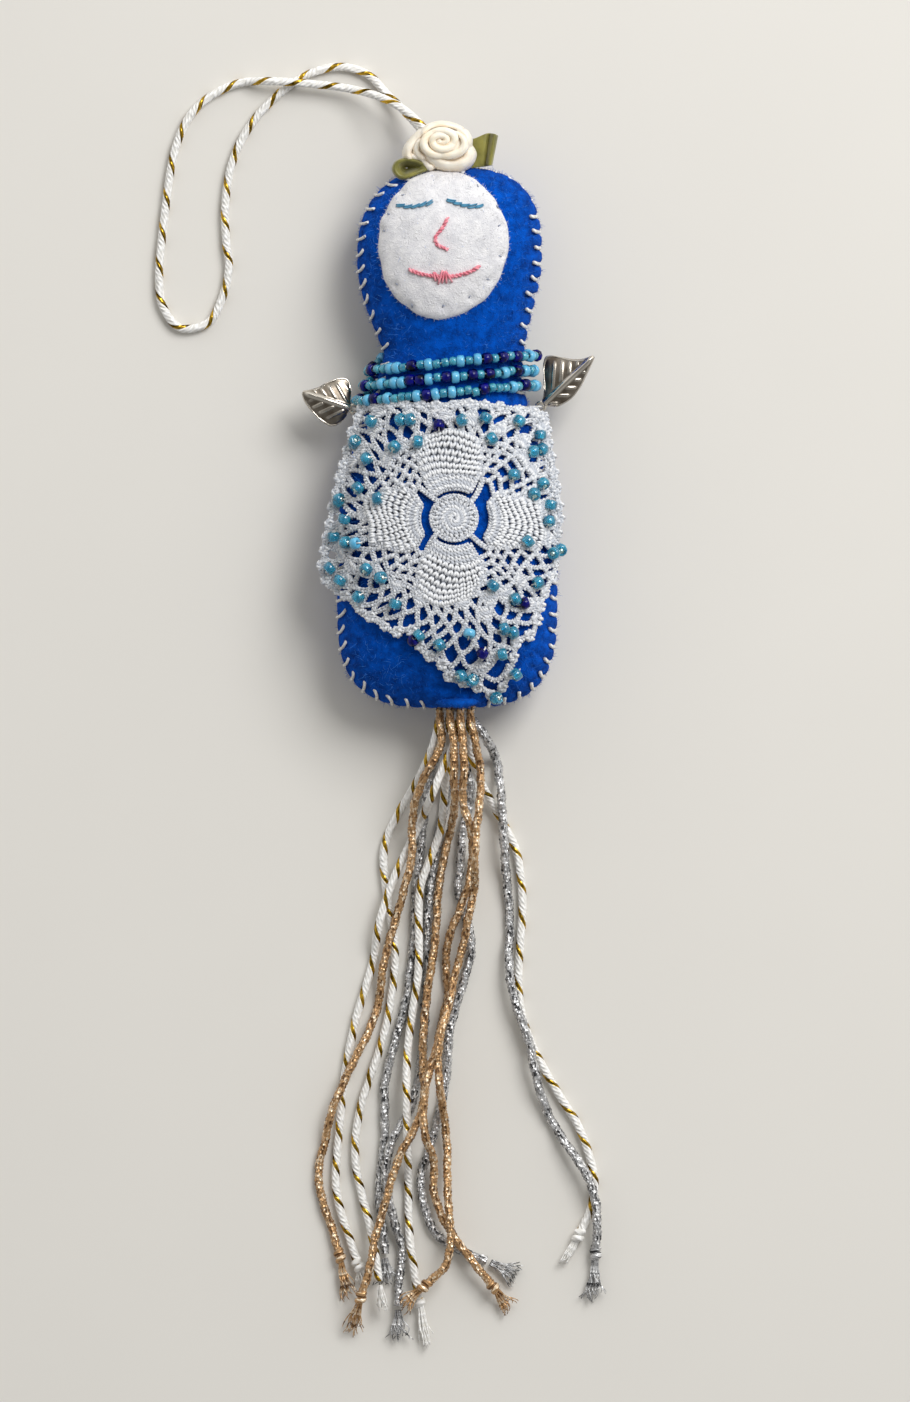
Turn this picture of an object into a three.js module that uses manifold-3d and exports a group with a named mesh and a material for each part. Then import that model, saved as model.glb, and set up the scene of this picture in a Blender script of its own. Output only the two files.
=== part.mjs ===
// A hand-sewn felt hanging doll, lying on its back: a stuffed two-panel body with a felt face, a
// ribbon rose, bead necklaces, metal leaf charms, a crochet doily, a cord loop and a cord tassel.
// Millimetres. +Z comes out of the face, +Y points to the crown. The origin is on the flat of the back.

import * as THREE from 'three';
import { mergeVertices } from 'three/addons/utils/BufferGeometryUtils.js';
import Module from 'manifold-3d';

const wasm = await Module();
wasm.setup();

// Stuffed body. Lengths along the body are measured from the shoulders, where the charms are sewn.
const restY = -28;              // the flat of the back, where the part's origin lies
const headY = 43;               // widest line of the head
const crownRise = 22;           // crown above the widest line
const torsoY = -38;             // where the sides turn into the rounded hem
const hemDrop = 26.8;           // hem below that line
const crownY = headY + crownRise;
const hemY = torsoY - hemDrop;
const headHalf = { left: 21.8, right: 22.6 };
const neckHalf = { left: 15.4, right: 18 };
const torsoHalf = { left: 26.6, right: 26.3 };
const neckY = { left: 19.9, right: 14 };
const fullY = { left: -26, right: -32 };        // where each flank reaches its full width
const headEase = { left: 0.7, right: 1.2 };     // how soon the neck swells into the head
const flankEase = 0.7;                          // how soon the neck swells into the torso
const crownRoundness = { left: 2.4, right: 2.9 };
const hemRoundness = 3.3;
const throatY = 17;             // thinnest line of the neck, front to back
const bellyY = -26;             // thickest line of the torso
const seamZ = 11;               // height of the edge seam above the table
const frontSwell = { head: 14, neck: 11.5, torso: 15.5 };
const backSwell = { head: 11.5, neck: 6.9, torso: 11.5 };
const swellRoundness = 2.2;
const swellPower = 0.55;
const feltThickness = 1.5;
const seamGap = 0.3;
const stuffingClearance = 0.5;

// Edge seam: white whip stitches, one thread down each side from the crown to the tassel.
const stitchPitch = 3.9;
const stitchHeight = 3.4;
const stitchRadius = 0.35;
const sewnGap = 0.35;           // clearance under whatever is sewn on

// Felt face with embroidered features.
const face = { x: -1.2, y: 46.1, halfWidth: 15.4, halfHeight: 17.7, lean: 5, thickness: 1.2 };
const appliqueLift = 0.5;       // clearance of a patch over the felt that it covers
const eyeThread = 0.5;
const noseThread = 0.45;
const mouthThread = 0.5;
const lipHalf = 1.5;            // half height of the satin-stitched middle of the mouth
const leftEye = [[-12.4, 55.8], [-9.5, 55.3], [-6.7, 55.6], [-3.4, 56.5]];
const rightEye = [[-0.3, 57.1], [2.1, 56.1], [5.2, 55.4], [8.5, 55.4]];
const noseLine = [[0, 52.6], [-1.2, 50.2], [-3, 47.7], [-2.7, 46.2], [0, 44.8]];
const mouthLine = [
  [-9.3, 40.1], [-7.4, 39.3], [-4.9, 38.7], [-1.5, 38.3], [2.1, 38.6], [5.2, 39.5], [7.6, 40.8]];

// Satin ribbon rose on the crown, with two ribbon leaves.
const rose = { x: -2, y: crownY + 6, z: seamZ + 3.4, halfWidth: 8.2, halfDepth: 5.8, height: 7 };
const roseTurn = { count: 2.7, eye: 0.14, start: 120 };
const ribbonThickness = 0.55;
const ribbonFlare = 0.12;
const roseLeaf = { width: 4.8, thickness: 0.8, cup: 0.5, bow: 0.4, vein: 0 };
// Place of each leaf round the rose, the way that it points, and its height over the rose's foot. The
// right leaf starts from under the rose.
const roseLeafPlaces = {
  left: { seat: 232, heading: 203, share: 1, rise: 3.2, length: 7.6 },
  right: { seat: -42, heading: 48, share: 0.82, rise: -0.95, length: 9 },
};

// Seed-bead necklaces: height of each strand at the left, the right and the back of the neck.
const bead = { radius: 1.55, pitch: 2.5, threadRadius: 0.45, sides: 5 };
const strands = {
  bead_strand_top: { left: 15.9, right: 19.9, back: 20.4 },
  bead_strand_middle: { left: 12.3, right: 16.3, back: 16.8 },
  bead_strand_bottom: { left: 8.7, right: 12.6, back: 13.2 },
};
const strandSpan = 19;          // half the width over which a strand climbs
const backShare = 0.7;          // of the way to the nape, over which a strand comes to its height there

// Metal leaf charms, each hung by its eyelet at the shoulder seam.
const charm = { width: 11.5, thickness: 0.7, cup: 1.6, bow: 1.2, vein: 0.35, eyelet: 1, wire: 0.4 };
const midribSharpness = 5;      // the midrib's slope across half the leaf
const sideVeins = 3;            // along each half of the leaf
const sideVeinShare = 0.6;      // of the midrib's height
const leafTipHalf = 0.12;
const leafFullness = 0.85;      // under 1 puts the widest line nearer to the stem
// Each charm's seam side and height, its tip, and the shares of its half width below and above its midrib.
const charmPlaces = {
  left_leaf_charm: { side: 'left', y: 6, tip: [-34.6, 11.3], lobes: [1, 1] },
  right_leaf_charm: { side: 'right', y: 6.8, tip: [34.8, 18.4], lobes: [0.75, 1.1], fullness: 1 },
};

// Crochet doily: a round eyelet centre, four solid petals, then a net of chain loops out to its points.
const doily = { x: 1.4, y: -19.4, reach: 26.5, thickness: 0.8, lift: 0.7, spokes: 20, spokeShare: 0.42 };
const doilyRings = { hub: 2.4, eyelets: 4.2, disc: 5.6, petals: 14.5, band: 16.2 };
const netRows = [0.28, 0.38, 0.62, 0.72, 0.94, 1];      // chain row, then stitch row, as shares of the net
const doilyPoints = [[50, 6, 14], [132, 6, 13], [203, 7.5, 13], [240, 4, 12], [283, 16, 11], [304, 4, 8]];
const doilyEdge = 0.92;         // how far over the rounded flank the net reaches

// Cords. Diameters are those of the real cords.
const cordDiameter = { white: 2, copper: 1.9, silver: 2.1 };
const cordStep = 7;
const cordGap = 0.35;
const tableGap = 0.2;           // under a cord that lies on the table
const humpShoulder = 7;         // a crossing cord comes down again over this length
const knotRadius = 1.45;
const knotLength = 3.6;
const whippingSwell = 1.15;     // a whipped end over its cord
const tuftRadius = 1.3;
const tuftFlatness = 0.9;

// Tassel: twelve cords bound together in the mouth of the hem.
const tasselX = 1.7;
const slotPitch = 2.45;
const bindingHalf = { width: 4.8, height: 3.6 };
const bindingLength = 6.3;
const bindingOut = 1.2;         // how far the binding stands out of the hem
const mouthHalf = { width: 6.4, height: 4 };
const mouthDepth = 8;
const cordFall = 15;            // a cord comes down from the seam to the table over this length

// Routes from the mouth of the hem to the cord's end, then the length of the frayed tuft.
const tassel = [
  { name: 'silver_cord_1', slot: [0, 0], knot: false, tuft: 5, route: [
    [-1.9, -71.3], [-3.9, -79.4], [-5.2, -86.4], [-6.2, -94.1], [-6.8, -100.8], [-7.7, -109.7],
    [-8.3, -122.6], [-9, -127], [-10, -135.1], [-12.3, -143.3], [-13.6, -148.3], [-15, -153.8],
    [-15.3, -158.4], [-15.1, -166.8], [-16, -175.2], [-16.5, -183.1], [-15.5, -190.8], [-15.2, -196]] },
  { name: 'silver_cord_2', slot: [1, 0], knot: false, tuft: 6, route: [
    [0.2, -72.5], [-0.2, -81.1], [-0.8, -88.3], [-2.3, -95.3], [-3.4, -102.7], [-4.3, -109.6],
    [-4.9, -116.9], [-4.9, -125.5], [-5.3, -132.8], [-5.7, -141.6], [-6.6, -151], [-8.6, -160.1],
    [-10.3, -163.4], [-14, -170.2], [-15, -177.6], [-13.7, -184.8], [-11.9, -192], [-10.6, -198],
    [-12.3, -204], [-12, -208.5]] },
  { name: 'silver_cord_3', slot: [2, 0], knot: false, tuft: 6, route: [
    [3.8, -72.5], [5.5, -82.1], [5, -88.9], [3.7, -92.3], [3.5, -98.9], [2.4, -106.1], [3.4, -112.1],
    [5.6, -119.8], [5.4, -124.1], [3.5, -131.4], [2.3, -135.1], [0.5, -141.6], [-0.2, -151],
    [-1.5, -159.8], [-3.9, -169.2], [-6.5, -177.4], [-6, -182.9], [-3.8, -189.5], [0, -194.2],
    [6, -195.8], [9.4, -197.6]] },
  { name: 'white_cord_4', slot: [3, 0], knot: true, tuft: 5.5, route: [
    [5.2, -72], [5.8, -77.5], [8.6, -83.8], [13, -92], [15.4, -95.9], [16.7, -100.8], [17.9, -109.7],
    [17.4, -121.7], [16.9, -131.3], [18.6, -141.7], [21, -147.4], [26.2, -157], [30.5, -163.6],
    [32.9, -169.2], [34.7, -175], [35.2, -178.6], [34.7, -182.5], [33.8, -187.2], [31.4, -191.5]] },
  { name: 'white_cord_1', slot: [0, 1], knot: false, tuft: 5, route: [
    [-2.4, -69.5], [-4.1, -75.4], [-8.4, -84.2], [-12.5, -91], [-15.4, -98.9], [-15.1, -106.1],
    [-14.5, -110.2], [-13.9, -115], [-13, -119.8], [-12.7, -123.6], [-13.3, -132], [-15, -141.6],
    [-17.8, -151], [-20.4, -158.2], [-22.4, -170.9], [-21.4, -178.6], [-18.6, -189.8],
    [-17.2, -197.5], [-16.6, -202.5]] },
  { name: 'white_cord_3', slot: [1, 1], knot: true, tuft: 9, route: [
    [0.3, -72.2], [-0.5, -80.9], [-1, -86.9], [-1.7, -93.8], [-4.6, -101.8], [-6.1, -105.6],
    [-7, -110.4], [-7, -117.4], [-7, -127], [-7.9, -133.8], [-9.1, -141.6], [-9.9, -151],
    [-9.9, -159.8], [-9.6, -175.7], [-9.5, -183.8], [-9.1, -193], [-8.2, -199.3], [-7, -207.1]] },
  { name: 'white_cord_2', slot: [2, 1], knot: true, tuft: 3, route: [
    [1.4, -73.2], [-1.8, -80.6], [-4.7, -87.8], [-8.3, -95.8], [-11.9, -103.2], [-14.6, -110.2],
    [-16.6, -116.9], [-17.3, -121.2], [-18.2, -127], [-21.1, -135.8], [-23.5, -145.9], [-25.1, -155],
    [-25.7, -161.8], [-26.6, -171.2], [-26.9, -180.2], [-25.1, -188.1], [-22.6, -195.1], [-21.6, -198.6]] },
  { name: 'silver_cord_4', slot: [3, 1], knot: true, tuft: 9, route: [
    [7.4, -70], [10.8, -74.6], [12.1, -79.9], [12.9, -87.8], [13.6, -98.9], [14.3, -108.5],
    [14.9, -116.1], [14.6, -123.6], [14.9, -129.4], [16.7, -137], [19.1, -143.5], [20.5, -150.2],
    [22.8, -158.9], [25.7, -165.4], [29.5, -171.1], [32.8, -175.9], [34.7, -179.8], [35.7, -186.2],
    [35.8, -192.5], [35.5, -195.8]] },
  { name: 'copper_cord_1', slot: [0, 2], knot: true, tuft: 8.5, route: [
    [-1.8, -74.2], [-5.8, -81.6], [-8.3, -88.9], [-8.6, -92.9], [-8.5, -99.4], [-10.3, -107.3],
    [-12.2, -114.5], [-14.2, -121.2], [-15.7, -127.9], [-16.7, -135.8], [-20, -144.7], [-23.8, -151.7],
    [-26.8, -159.4], [-28.8, -163.9], [-29.8, -171.2], [-31.3, -177.6], [-29.4, -185.5],
    [-26.6, -193.4], [-26, -196.4]] },
  { name: 'copper_cord_2', slot: [1, 2], knot: true, tuft: 7, route: [
    [1.4, -73.2], [1.4, -83.8], [1.6, -88.9], [0, -96.7], [-2, -106.1], [-2.7, -115.4],
    [-3.5, -124.3], [-4.7, -131.3], [-5.8, -141.6], [-6.1, -148.3], [-5.8, -158.9], [-8.2, -166.2],
    [-12.2, -173.5], [-14.8, -183.1], [-17.2, -190.8], [-18.9, -199.7], [-20.9, -206.2]] },
  { name: 'copper_cord_3', slot: [2, 2], knot: true, tuft: 5, route: [
    [3.6, -73.2], [3.9, -81.1], [3.7, -88.9], [5, -91.4], [5.8, -99.4], [5.8, -105.1], [4.4, -108.1],
    [2.4, -114.5], [0.6, -118.6], [-0.5, -125.5], [-0.2, -129.8], [0, -134.4], [-1.8, -141.6],
    [-3.2, -148.3], [-4.9, -153.8], [-5.9, -165.1], [-3.2, -174.7], [-3.5, -180.2], [-0.7, -188.4],
    [5.3, -196.8], [10.8, -203.8]] },
  { name: 'copper_cord_4', slot: [3, 2], knot: true, tuft: 6, route: [
    [6, -70.7], [7.8, -79.8], [7.8, -85], [6.8, -94.1], [6.4, -99.4], [6.4, -107.5], [4.7, -116.2],
    [3.8, -121.2], [1.8, -128.4], [0.3, -135.8], [-1.8, -143.3], [-2.4, -150], [-1.8, -156.7],
    [-0.3, -168.5], [-0.1, -180.2], [0.4, -189.1], [0.7, -195.8], [-2.1, -200.6], [-5.6, -203.6]] },
];

// Hanging loop: out of the crown seam, round the bight on the table, and back to the crown.
const loopX = -3.5;
const loopPitch = 2.5;          // its two ends leave the seam one above the other
const loopFall = 26;
const loopRoute = [
  [-4.4, 70.2], [-7, 74.6], [-11.1, 79.2], [-15.2, 83.3], [-18.1, 86.7], [-21.6, 88.5], [-25.7, 89.3],
  [-29.8, 88.8], [-33.2, 87.6], [-36.1, 85.6], [-39.6, 83.8], [-43.1, 80.4], [-46.1, 77.5], [-49, 72.7],
  [-51.2, 68.2], [-52.7, 62.9], [-53.6, 53.5], [-53, 43.7], [-52.7, 39.6], [-53.9, 35], [-55.3, 31],
  [-58.2, 27.4], [-62.3, 26.2], [-66.4, 27.7], [-68.4, 31.4], [-69.3, 36.1], [-69.3, 42], [-68.1, 53.5],
  [-66.4, 65.8], [-64.9, 71.5], [-62.9, 76.3], [-59.4, 80.4], [-55.3, 83.3], [-50.6, 85.3], [-44.9, 85.8],
  [-39, 85.6], [-28.6, 84.7], [-19.2, 82.9], [-12.2, 79.8], [-6, 74.6], [-4, 70.2]];

const radians = THREE.MathUtils.degToRad;
const clamp = THREE.MathUtils.clamp;
const smooth = (t) => THREE.MathUtils.smoothstep(t, 0, 1);
const at = (x, y, z) => new THREE.Vector3(x, y, z);

// Merges shared corners, drops empty triangles and turns the faces outwards.
function solid(geometry) {
  const bare = geometry.index ? geometry.clone() : geometry;
  bare.deleteAttribute('normal');
  bare.deleteAttribute('uv');
  const merged = mergeVertices(bare, 1e-4);
  const position = merged.attributes.position;
  const corner = (i) => new THREE.Vector3().fromBufferAttribute(position, i);
  const kept = [];
  let volume = 0;
  for (let i = 0; i < merged.index.count; i += 3) {
    const [a, b, c] = [0, 1, 2].map((k) => merged.index.getX(i + k));
    if (a === b || b === c || c === a) continue;
    kept.push([a, b, c]);
    volume += corner(a).dot(corner(b).cross(corner(c)));
  }
  merged.setIndex(kept.flatMap(([a, b, c]) => (volume > 0 ? [a, b, c] : [a, c, b])));
  merged.computeVertexNormals();
  return merged;
}

function toManifold(geometry) {
  const closed = solid(geometry);
  const vertProperties = new Float32Array(closed.attributes.position.array);
  const triVerts = new Uint32Array(closed.index.array);
  return new wasm.Manifold(new wasm.Mesh({ numProp: 3, vertProperties, triVerts }));
}

function fromManifold(body) {
  const mesh = body.getMesh();
  const geometry = new THREE.BufferGeometry();
  geometry.setAttribute('position', new THREE.BufferAttribute(new Float32Array(mesh.vertProperties), 3));
  geometry.setIndex([...mesh.triVerts]);
  return solid(geometry);
}

const cut = (geometry, tool) => fromManifold(toManifold(geometry).subtract(toManifold(tool)));
const sliver = 0.03;            // edges shorter than this are dropped where solids are joined
const join = (...pieces) => fromManifold(pieces.map(toManifold).reduce((a, b) => a.add(b)).simplify(sliver));

// Skins a list of rings of equally many points. Open ends are capped, a closed run joins its last ring
// to its first.
function loft(rings, { closed = false, capped = true } = {}) {
  const sides = rings[0].length;
  const position = rings.flat().flatMap((p) => [p.x, p.y, p.z]);
  const index = [];
  const spans = closed ? rings.length : rings.length - 1;
  for (let i = 0; i < spans; i += 1) {
    const low = i * sides;
    const high = ((i + 1) % rings.length) * sides;
    for (let j = 0; j < sides; j += 1) {
      const k = (j + 1) % sides;
      index.push(low + j, low + k, high + k, low + j, high + k, high + j);
    }
  }
  if (!closed && capped) {
    const last = (rings.length - 1) * sides;
    for (let j = 1; j < sides - 1; j += 1) {
      index.push(0, j + 1, j, last, last + j, last + j + 1);
    }
  }
  const geometry = new THREE.BufferGeometry();
  geometry.setAttribute('position', new THREE.Float32BufferAttribute(position, 3));
  geometry.setIndex(index);
  return solid(geometry);
}

function tube(points, radius, sides, steps) {
  const section = new THREE.Shape();
  section.absarc(0, 0, radius, 0, 2 * Math.PI);
  const outline = new THREE.Shape(section.getSpacedPoints(sides).slice(0, sides));
  const extrudePath = new THREE.CatmullRomCurve3(points, false, 'centripetal');
  return solid(new THREE.ExtrudeGeometry(outline, { steps, extrudePath, bevelEnabled: false }));
}

// Body form. Half width of one side at a height, before the crown and the hem round off.
function halfWidth(side, y) {
  const neck = neckHalf[side];
  if (y > neckY[side]) {
    const t = clamp((y - neckY[side]) / (headY - neckY[side]), 0, 1);
    return neck + (headHalf[side] - neck) * smooth(t ** headEase[side]);
  }
  const t = clamp((neckY[side] - y) / (neckY[side] - fullY[side]), 0, 1);
  return neck + (torsoHalf[side] - neck) * smooth(t ** flankEase);
}

// Swell of the front or the back over the seam, thin at the throat and full at the head and belly.
function swellAt(swell, y) {
  if (y > throatY) {
    const t = clamp((y - throatY) / (headY - throatY), 0, 1);
    return swell.neck + (swell.head - swell.neck) * smooth(t);
  }
  const t = clamp((throatY - y) / (throatY - bellyY), 0, 1);
  return swell.neck + (swell.torso - swell.neck) * smooth(t ** flankEase);
}

const sideOf = (x) => (x < 0 ? 'left' : 'right');
const swellCurve = (share) => Math.max(0, 1 - share ** swellRoundness) ** swellPower;

// Share of the way from the spine to the seam: 0 on the spine, 1 on the seam.
function seamShare(x, y) {
  const side = sideOf(x);
  const across = Math.abs(x) / halfWidth(side, clamp(y, torsoY, headY));
  if (y > headY) {
    const n = crownRoundness[side];
    return (across ** n + ((y - headY) / crownRise) ** n) ** (1 / n);
  }
  if (y < torsoY) {
    return (across ** hemRoundness + ((torsoY - y) / hemDrop) ** hemRoundness) ** (1 / hemRoundness);
  }
  return across;
}

const frontZ = (x, y) => seamZ + seamGap / 2 + swellAt(frontSwell, y) * swellCurve(seamShare(x, y));

// A point that stands off the front of the body by a lift, square to its surface.
function onFront(x, y, lift) {
  const step = 0.05;
  const slopeX = (frontZ(x + step, y) - frontZ(x - step, y)) / (2 * step);
  const slopeY = (frontZ(x, y + step) - frontZ(x, y - step)) / (2 * step);
  return at(x, y, frontZ(x, y)).addScaledVector(at(-slopeX, -slopeY, 1).normalize(), lift);
}

// Seam outline, clockwise from the crown, pulled in by an inset. Each point comes with the point of the
// spine that it faces.
const capSteps = 6;
const flankSteps = 11;
function seamOutline(inset) {
  const flank = [];
  for (let i = 1; i < flankSteps; i += 1) flank.push(headY + ((torsoY - headY) * i) / flankSteps);
  const half = (side) => {
    const sign = side === 'left' ? -1 : 1;
    const cap = (y, rise, n, i) => {
      const turn = (Math.PI / 2) * (i / capSteps);
      const width = halfWidth(side, y) - inset;
      return [sign * width * Math.sin(turn) ** (2 / n), y + rise * Math.cos(turn) ** (2 / n), y];
    };
    const points = [];
    for (let i = 1; i <= capSteps; i += 1) {
      points.push(cap(headY, crownRise - inset, crownRoundness[side], i));
    }
    flank.forEach((y) => points.push([sign * (halfWidth(side, y) - inset), y, y]));
    for (let i = capSteps; i >= 1; i -= 1) {
      points.push(cap(torsoY, inset - hemDrop, hemRoundness, i));
    }
    return points;
  };
  const crown = [0, headY + crownRise - inset, headY];
  const hem = [0, torsoY - hemDrop + inset, torsoY];
  return [crown, ...half('right'), hem, ...half('left').reverse()];
}

const shellShares = [0, 0.32, 0.62, 0.85, 0.96, 1];

// One ring of a body surface: the outline drawn towards the spine, lifted by the swell.
function bodyRing(inset, share, swell, direction, baseZ) {
  return seamOutline(inset).map(([x, y, spineY]) => {
    const py = spineY + (y - spineY) * share;
    const height = Math.max(0, swellAt(swell, py) - inset) * swellCurve(share);
    const floor = direction < 0 ? inset : 0;
    return at(x * share, py, Math.max(baseZ + direction * height, floor));
  });
}

function feltPanel(swell, direction) {
  const baseZ = seamZ + (direction * seamGap) / 2;
  const outer = shellShares.map((share) => bodyRing(0, share, swell, direction, baseZ));
  const inner = shellShares.map((share) => bodyRing(feltThickness, share, swell, direction, baseZ));
  return cut(loft([...outer, ...inner.reverse()], { capped: false }), mouthTool());
}

function stuffingFill() {
  const inset = feltThickness + stuffingClearance;
  const front = shellShares.map((share) => bodyRing(inset, share, frontSwell, 1, seamZ));
  const back = shellShares.slice(0, -1).map((share) => bodyRing(inset, share, backSwell, -1, seamZ));
  return cut(loft([...front, ...back.reverse()], { capped: false }), mouthTool());
}

// The mouth in the hem that the tassel comes out of.
function mouthTool() {
  const outside = 6;
  const tool = new THREE.CylinderGeometry(1, 1, mouthDepth + outside, 20);
  tool.scale(mouthHalf.width, 1, mouthHalf.height);
  return tool.translate(tasselX, hemY + (mouthDepth - outside) / 2, seamZ);
}

function tasselBinding() {
  const shoulder = 1;
  const endShare = 0.65;
  const barrel = turned([[0, 0], [endShare, 0], [1, shoulder], [1, bindingLength - shoulder],
    [endShare, bindingLength], [0, bindingLength]], 14);
  barrel.scale(bindingHalf.width, 1, bindingHalf.height);
  return solid(barrel.translate(tasselX, hemY - bindingOut, seamZ));
}

function turned(profile, sides) {
  return new THREE.LatheGeometry(profile.map(([r, y]) => new THREE.Vector2(r, y)), sides);
}

// Whip stitching on one side: a thread that steps from the front of the seam to its back and on.
function edgeStitching(side, crownGap, mouthGap) {
  const sign = side === 'left' ? -1 : 1;
  const corners = seamOutline(0).filter(([x]) => sign * x >= 0).sort((p, q) => q[1] - p[1]);
  const seam = new THREE.CurvePath();
  for (let i = 1; i < corners.length; i += 1) {
    const [from, to] = [corners[i - 1], corners[i]].map(([x, y]) => at(x, y, seamZ));
    seam.add(new THREE.LineCurve3(from, to));
  }
  const run = seam.getSpacedPoints(800).filter((p) => {
    if (p.y > headY) return sign * p.x > crownGap;
    return p.y > torsoY || sign * p.x > mouthGap;
  });
  const length = run[0].distanceTo(run[1]) * (run.length - 1);
  const count = Math.round(length / (stitchPitch / 2));
  const miter = Math.hypot(stitchPitch / 2, stitchHeight) / (stitchPitch / 2);
  const rings = [];
  for (let i = 0; i <= count; i += 1) {
    const k = clamp(Math.round((i / count) * (run.length - 1)), 1, run.length - 2);
    const along = run[k + 1].clone().sub(run[k - 1]).normalize();
    const out = at(along.y, -along.x, 0).multiplyScalar(-sign);
    const centre = run[k].clone().addScaledVector(out, sewnGap + stitchRadius);
    centre.z += (i % 2 ? -0.5 : 0.5) * stitchHeight;
    const up = at(0, 0, stitchRadius * miter);
    const beside = out.clone().multiplyScalar(stitchRadius);
    rings.push([beside, up, beside.clone().negate(), up.clone().negate()].map((step) => step.add(centre)));
  }
  return loft(rings);
}

function faceFelt() {
  const turn = radians(-face.lean);
  const place = (share, angle, lift) => {
    const x = share * face.halfWidth * Math.cos(angle);
    const y = share * face.halfHeight * Math.sin(angle);
    const spot = new THREE.Vector2(x, y).rotateAround(new THREE.Vector2(), turn);
    return onFront(face.x + spot.x, face.y + spot.y, lift);
  };
  const sides = 26;
  const angles = Array.from({ length: sides }, (_, i) => (2 * Math.PI * i) / sides);
  const ring = (share, lift) => angles.map((angle) => place(share, angle, lift));
  const shares = [0, 0.4, 0.74, 1];
  const under = shares.map((share) => ring(share, appliqueLift));
  const over = shares.map((share) => ring(share, appliqueLift + face.thickness));
  return loft([...under, ...over.reverse()], { capped: false });
}

// A line of embroidery over the face felt.
const faceLift = appliqueLift + face.thickness + sewnGap;
function embroidery(line, radius) {
  const points = line.map(([x, y]) => onFront(x, y, faceLift + radius));
  return tube(points, radius, 6, 8);
}

// The mouth swells into a satin-stitched middle.
function mouthStitching() {
  const curve = new THREE.CatmullRomCurve3(mouthLine.map(([x, y]) => at(x, y, 0)), false, 'centripetal');
  const steps = 10;
  const rings = curve.getSpacedPoints(steps).map((p, i) => {
    const full = smooth(1 - Math.abs(i / steps - 0.5) * 3.2);
    const half = mouthThread + (lipHalf - mouthThread) * full;
    const point = (dy, lift) => onFront(p.x, p.y + dy, faceLift + lift);
    const middle = mouthThread / 2;
    return [point(-half, middle), point(0, 0), point(half, middle), point(0, 2 * mouthThread)];
  });
  return loft(rings);
}

// A ribbon wound into a spiral, standing on edge and flaring to its free edge. Its share of the rose's
// size grows with the angle that it has wound through.
const roseWind = 2 * Math.PI * roseTurn.count;
const roseShare = (wound) => roseTurn.eye + (1 - roseTurn.eye) * (wound / roseWind);
const roseFlare = (z) => 1 - ribbonFlare * (1 - z / rose.height);

function ribbonRose() {
  const steps = 36;
  const edge = (offset) => Array.from({ length: steps + 1 }, (_, i) => {
    const wound = roseWind * (i / steps);
    const angle = radians(roseTurn.start) + wound;
    const x = (rose.halfWidth * roseShare(wound) + offset) * Math.cos(angle);
    return new THREE.Vector2(x, (rose.halfDepth * roseShare(wound) + offset) * Math.sin(angle));
  });
  const outline = [...edge(0), ...edge(-ribbonThickness).reverse()];
  const depth = rose.height;
  const ribbon = new THREE.ExtrudeGeometry(new THREE.Shape(outline), { depth, bevelEnabled: false });
  const position = ribbon.attributes.position;
  for (let i = 0; i < position.count; i += 1) {
    const flare = roseFlare(position.getZ(i));
    position.setXY(i, position.getX(i) * flare, position.getY(i) * flare);
  }
  return solid(ribbon.translate(rose.x, rose.y, rose.z));
}

// A point beside the rose's outer turn, or under it by a share of the way out, at an angle and a height.
function besideRose(angle, outward, z) {
  const lastTurn = THREE.MathUtils.euclideanModulo(angle - radians(roseTurn.start) - roseWind, 2 * Math.PI);
  const share = outward * roseShare(roseWind - 2 * Math.PI + lastTurn) * roseFlare(Math.max(0, z));
  const x = (rose.halfWidth * share + sewnGap) * Math.cos(angle);
  const y = (rose.halfDepth * share + sewnGap) * Math.sin(angle);
  return at(rose.x + x, rose.y + y, rose.z + z);
}

// A leaf plate along +X from the origin: pointed, cupped across and bowed along, with raised veins.
function leafPlate({
  length, width, thickness, cup, bow, vein, stem, along, across, lobes = [1, 1], fullness = leafFullness,
}) {
  const rows = [];
  for (let i = 0; i <= along; i += 1) {
    const u = i / along;
    const half = Math.max(stem * (1 - u), (width / 2) * Math.sin(Math.PI * u ** fullness), leafTipHalf);
    const reach = (v) => v * half * lobes[v > 0 ? 1 : 0];
    const row = [];
    const height = (v) => bow * Math.sin(Math.PI * u) - cup * v * v * Math.sin(Math.PI * u);
    const ridge = (v) => {
      const midrib = 1 - midribSharpness * Math.abs(v);
      const sideVein = sideVeinShare * Math.cos(2 * Math.PI * (sideVeins * u - Math.abs(v)));
      return vein * Math.max(midrib, sideVein, 0) * (1 - v * v);
    };
    for (let j = 0; j <= across; j += 1) {
      const v = (2 * j) / across - 1;
      row.push(at(u * length, reach(v), height(v) + thickness / 2 + ridge(v)));
    }
    for (let j = across; j >= 0; j -= 1) {
      const v = (2 * j) / across - 1;
      row.push(at(u * length, reach(v), height(v) - thickness / 2));
    }
    rows.push(row);
  }
  return loft(rows);
}

function roseLeafPiece({ seat, heading, share, rise, length }) {
  const plate = leafPlate({ ...roseLeaf, length, stem: 1, along: 6, across: 4 });
  const base = besideRose(radians(seat), share, rise);
  return plate.rotateZ(radians(heading)).translate(base.x, base.y, base.z);
}

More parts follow.
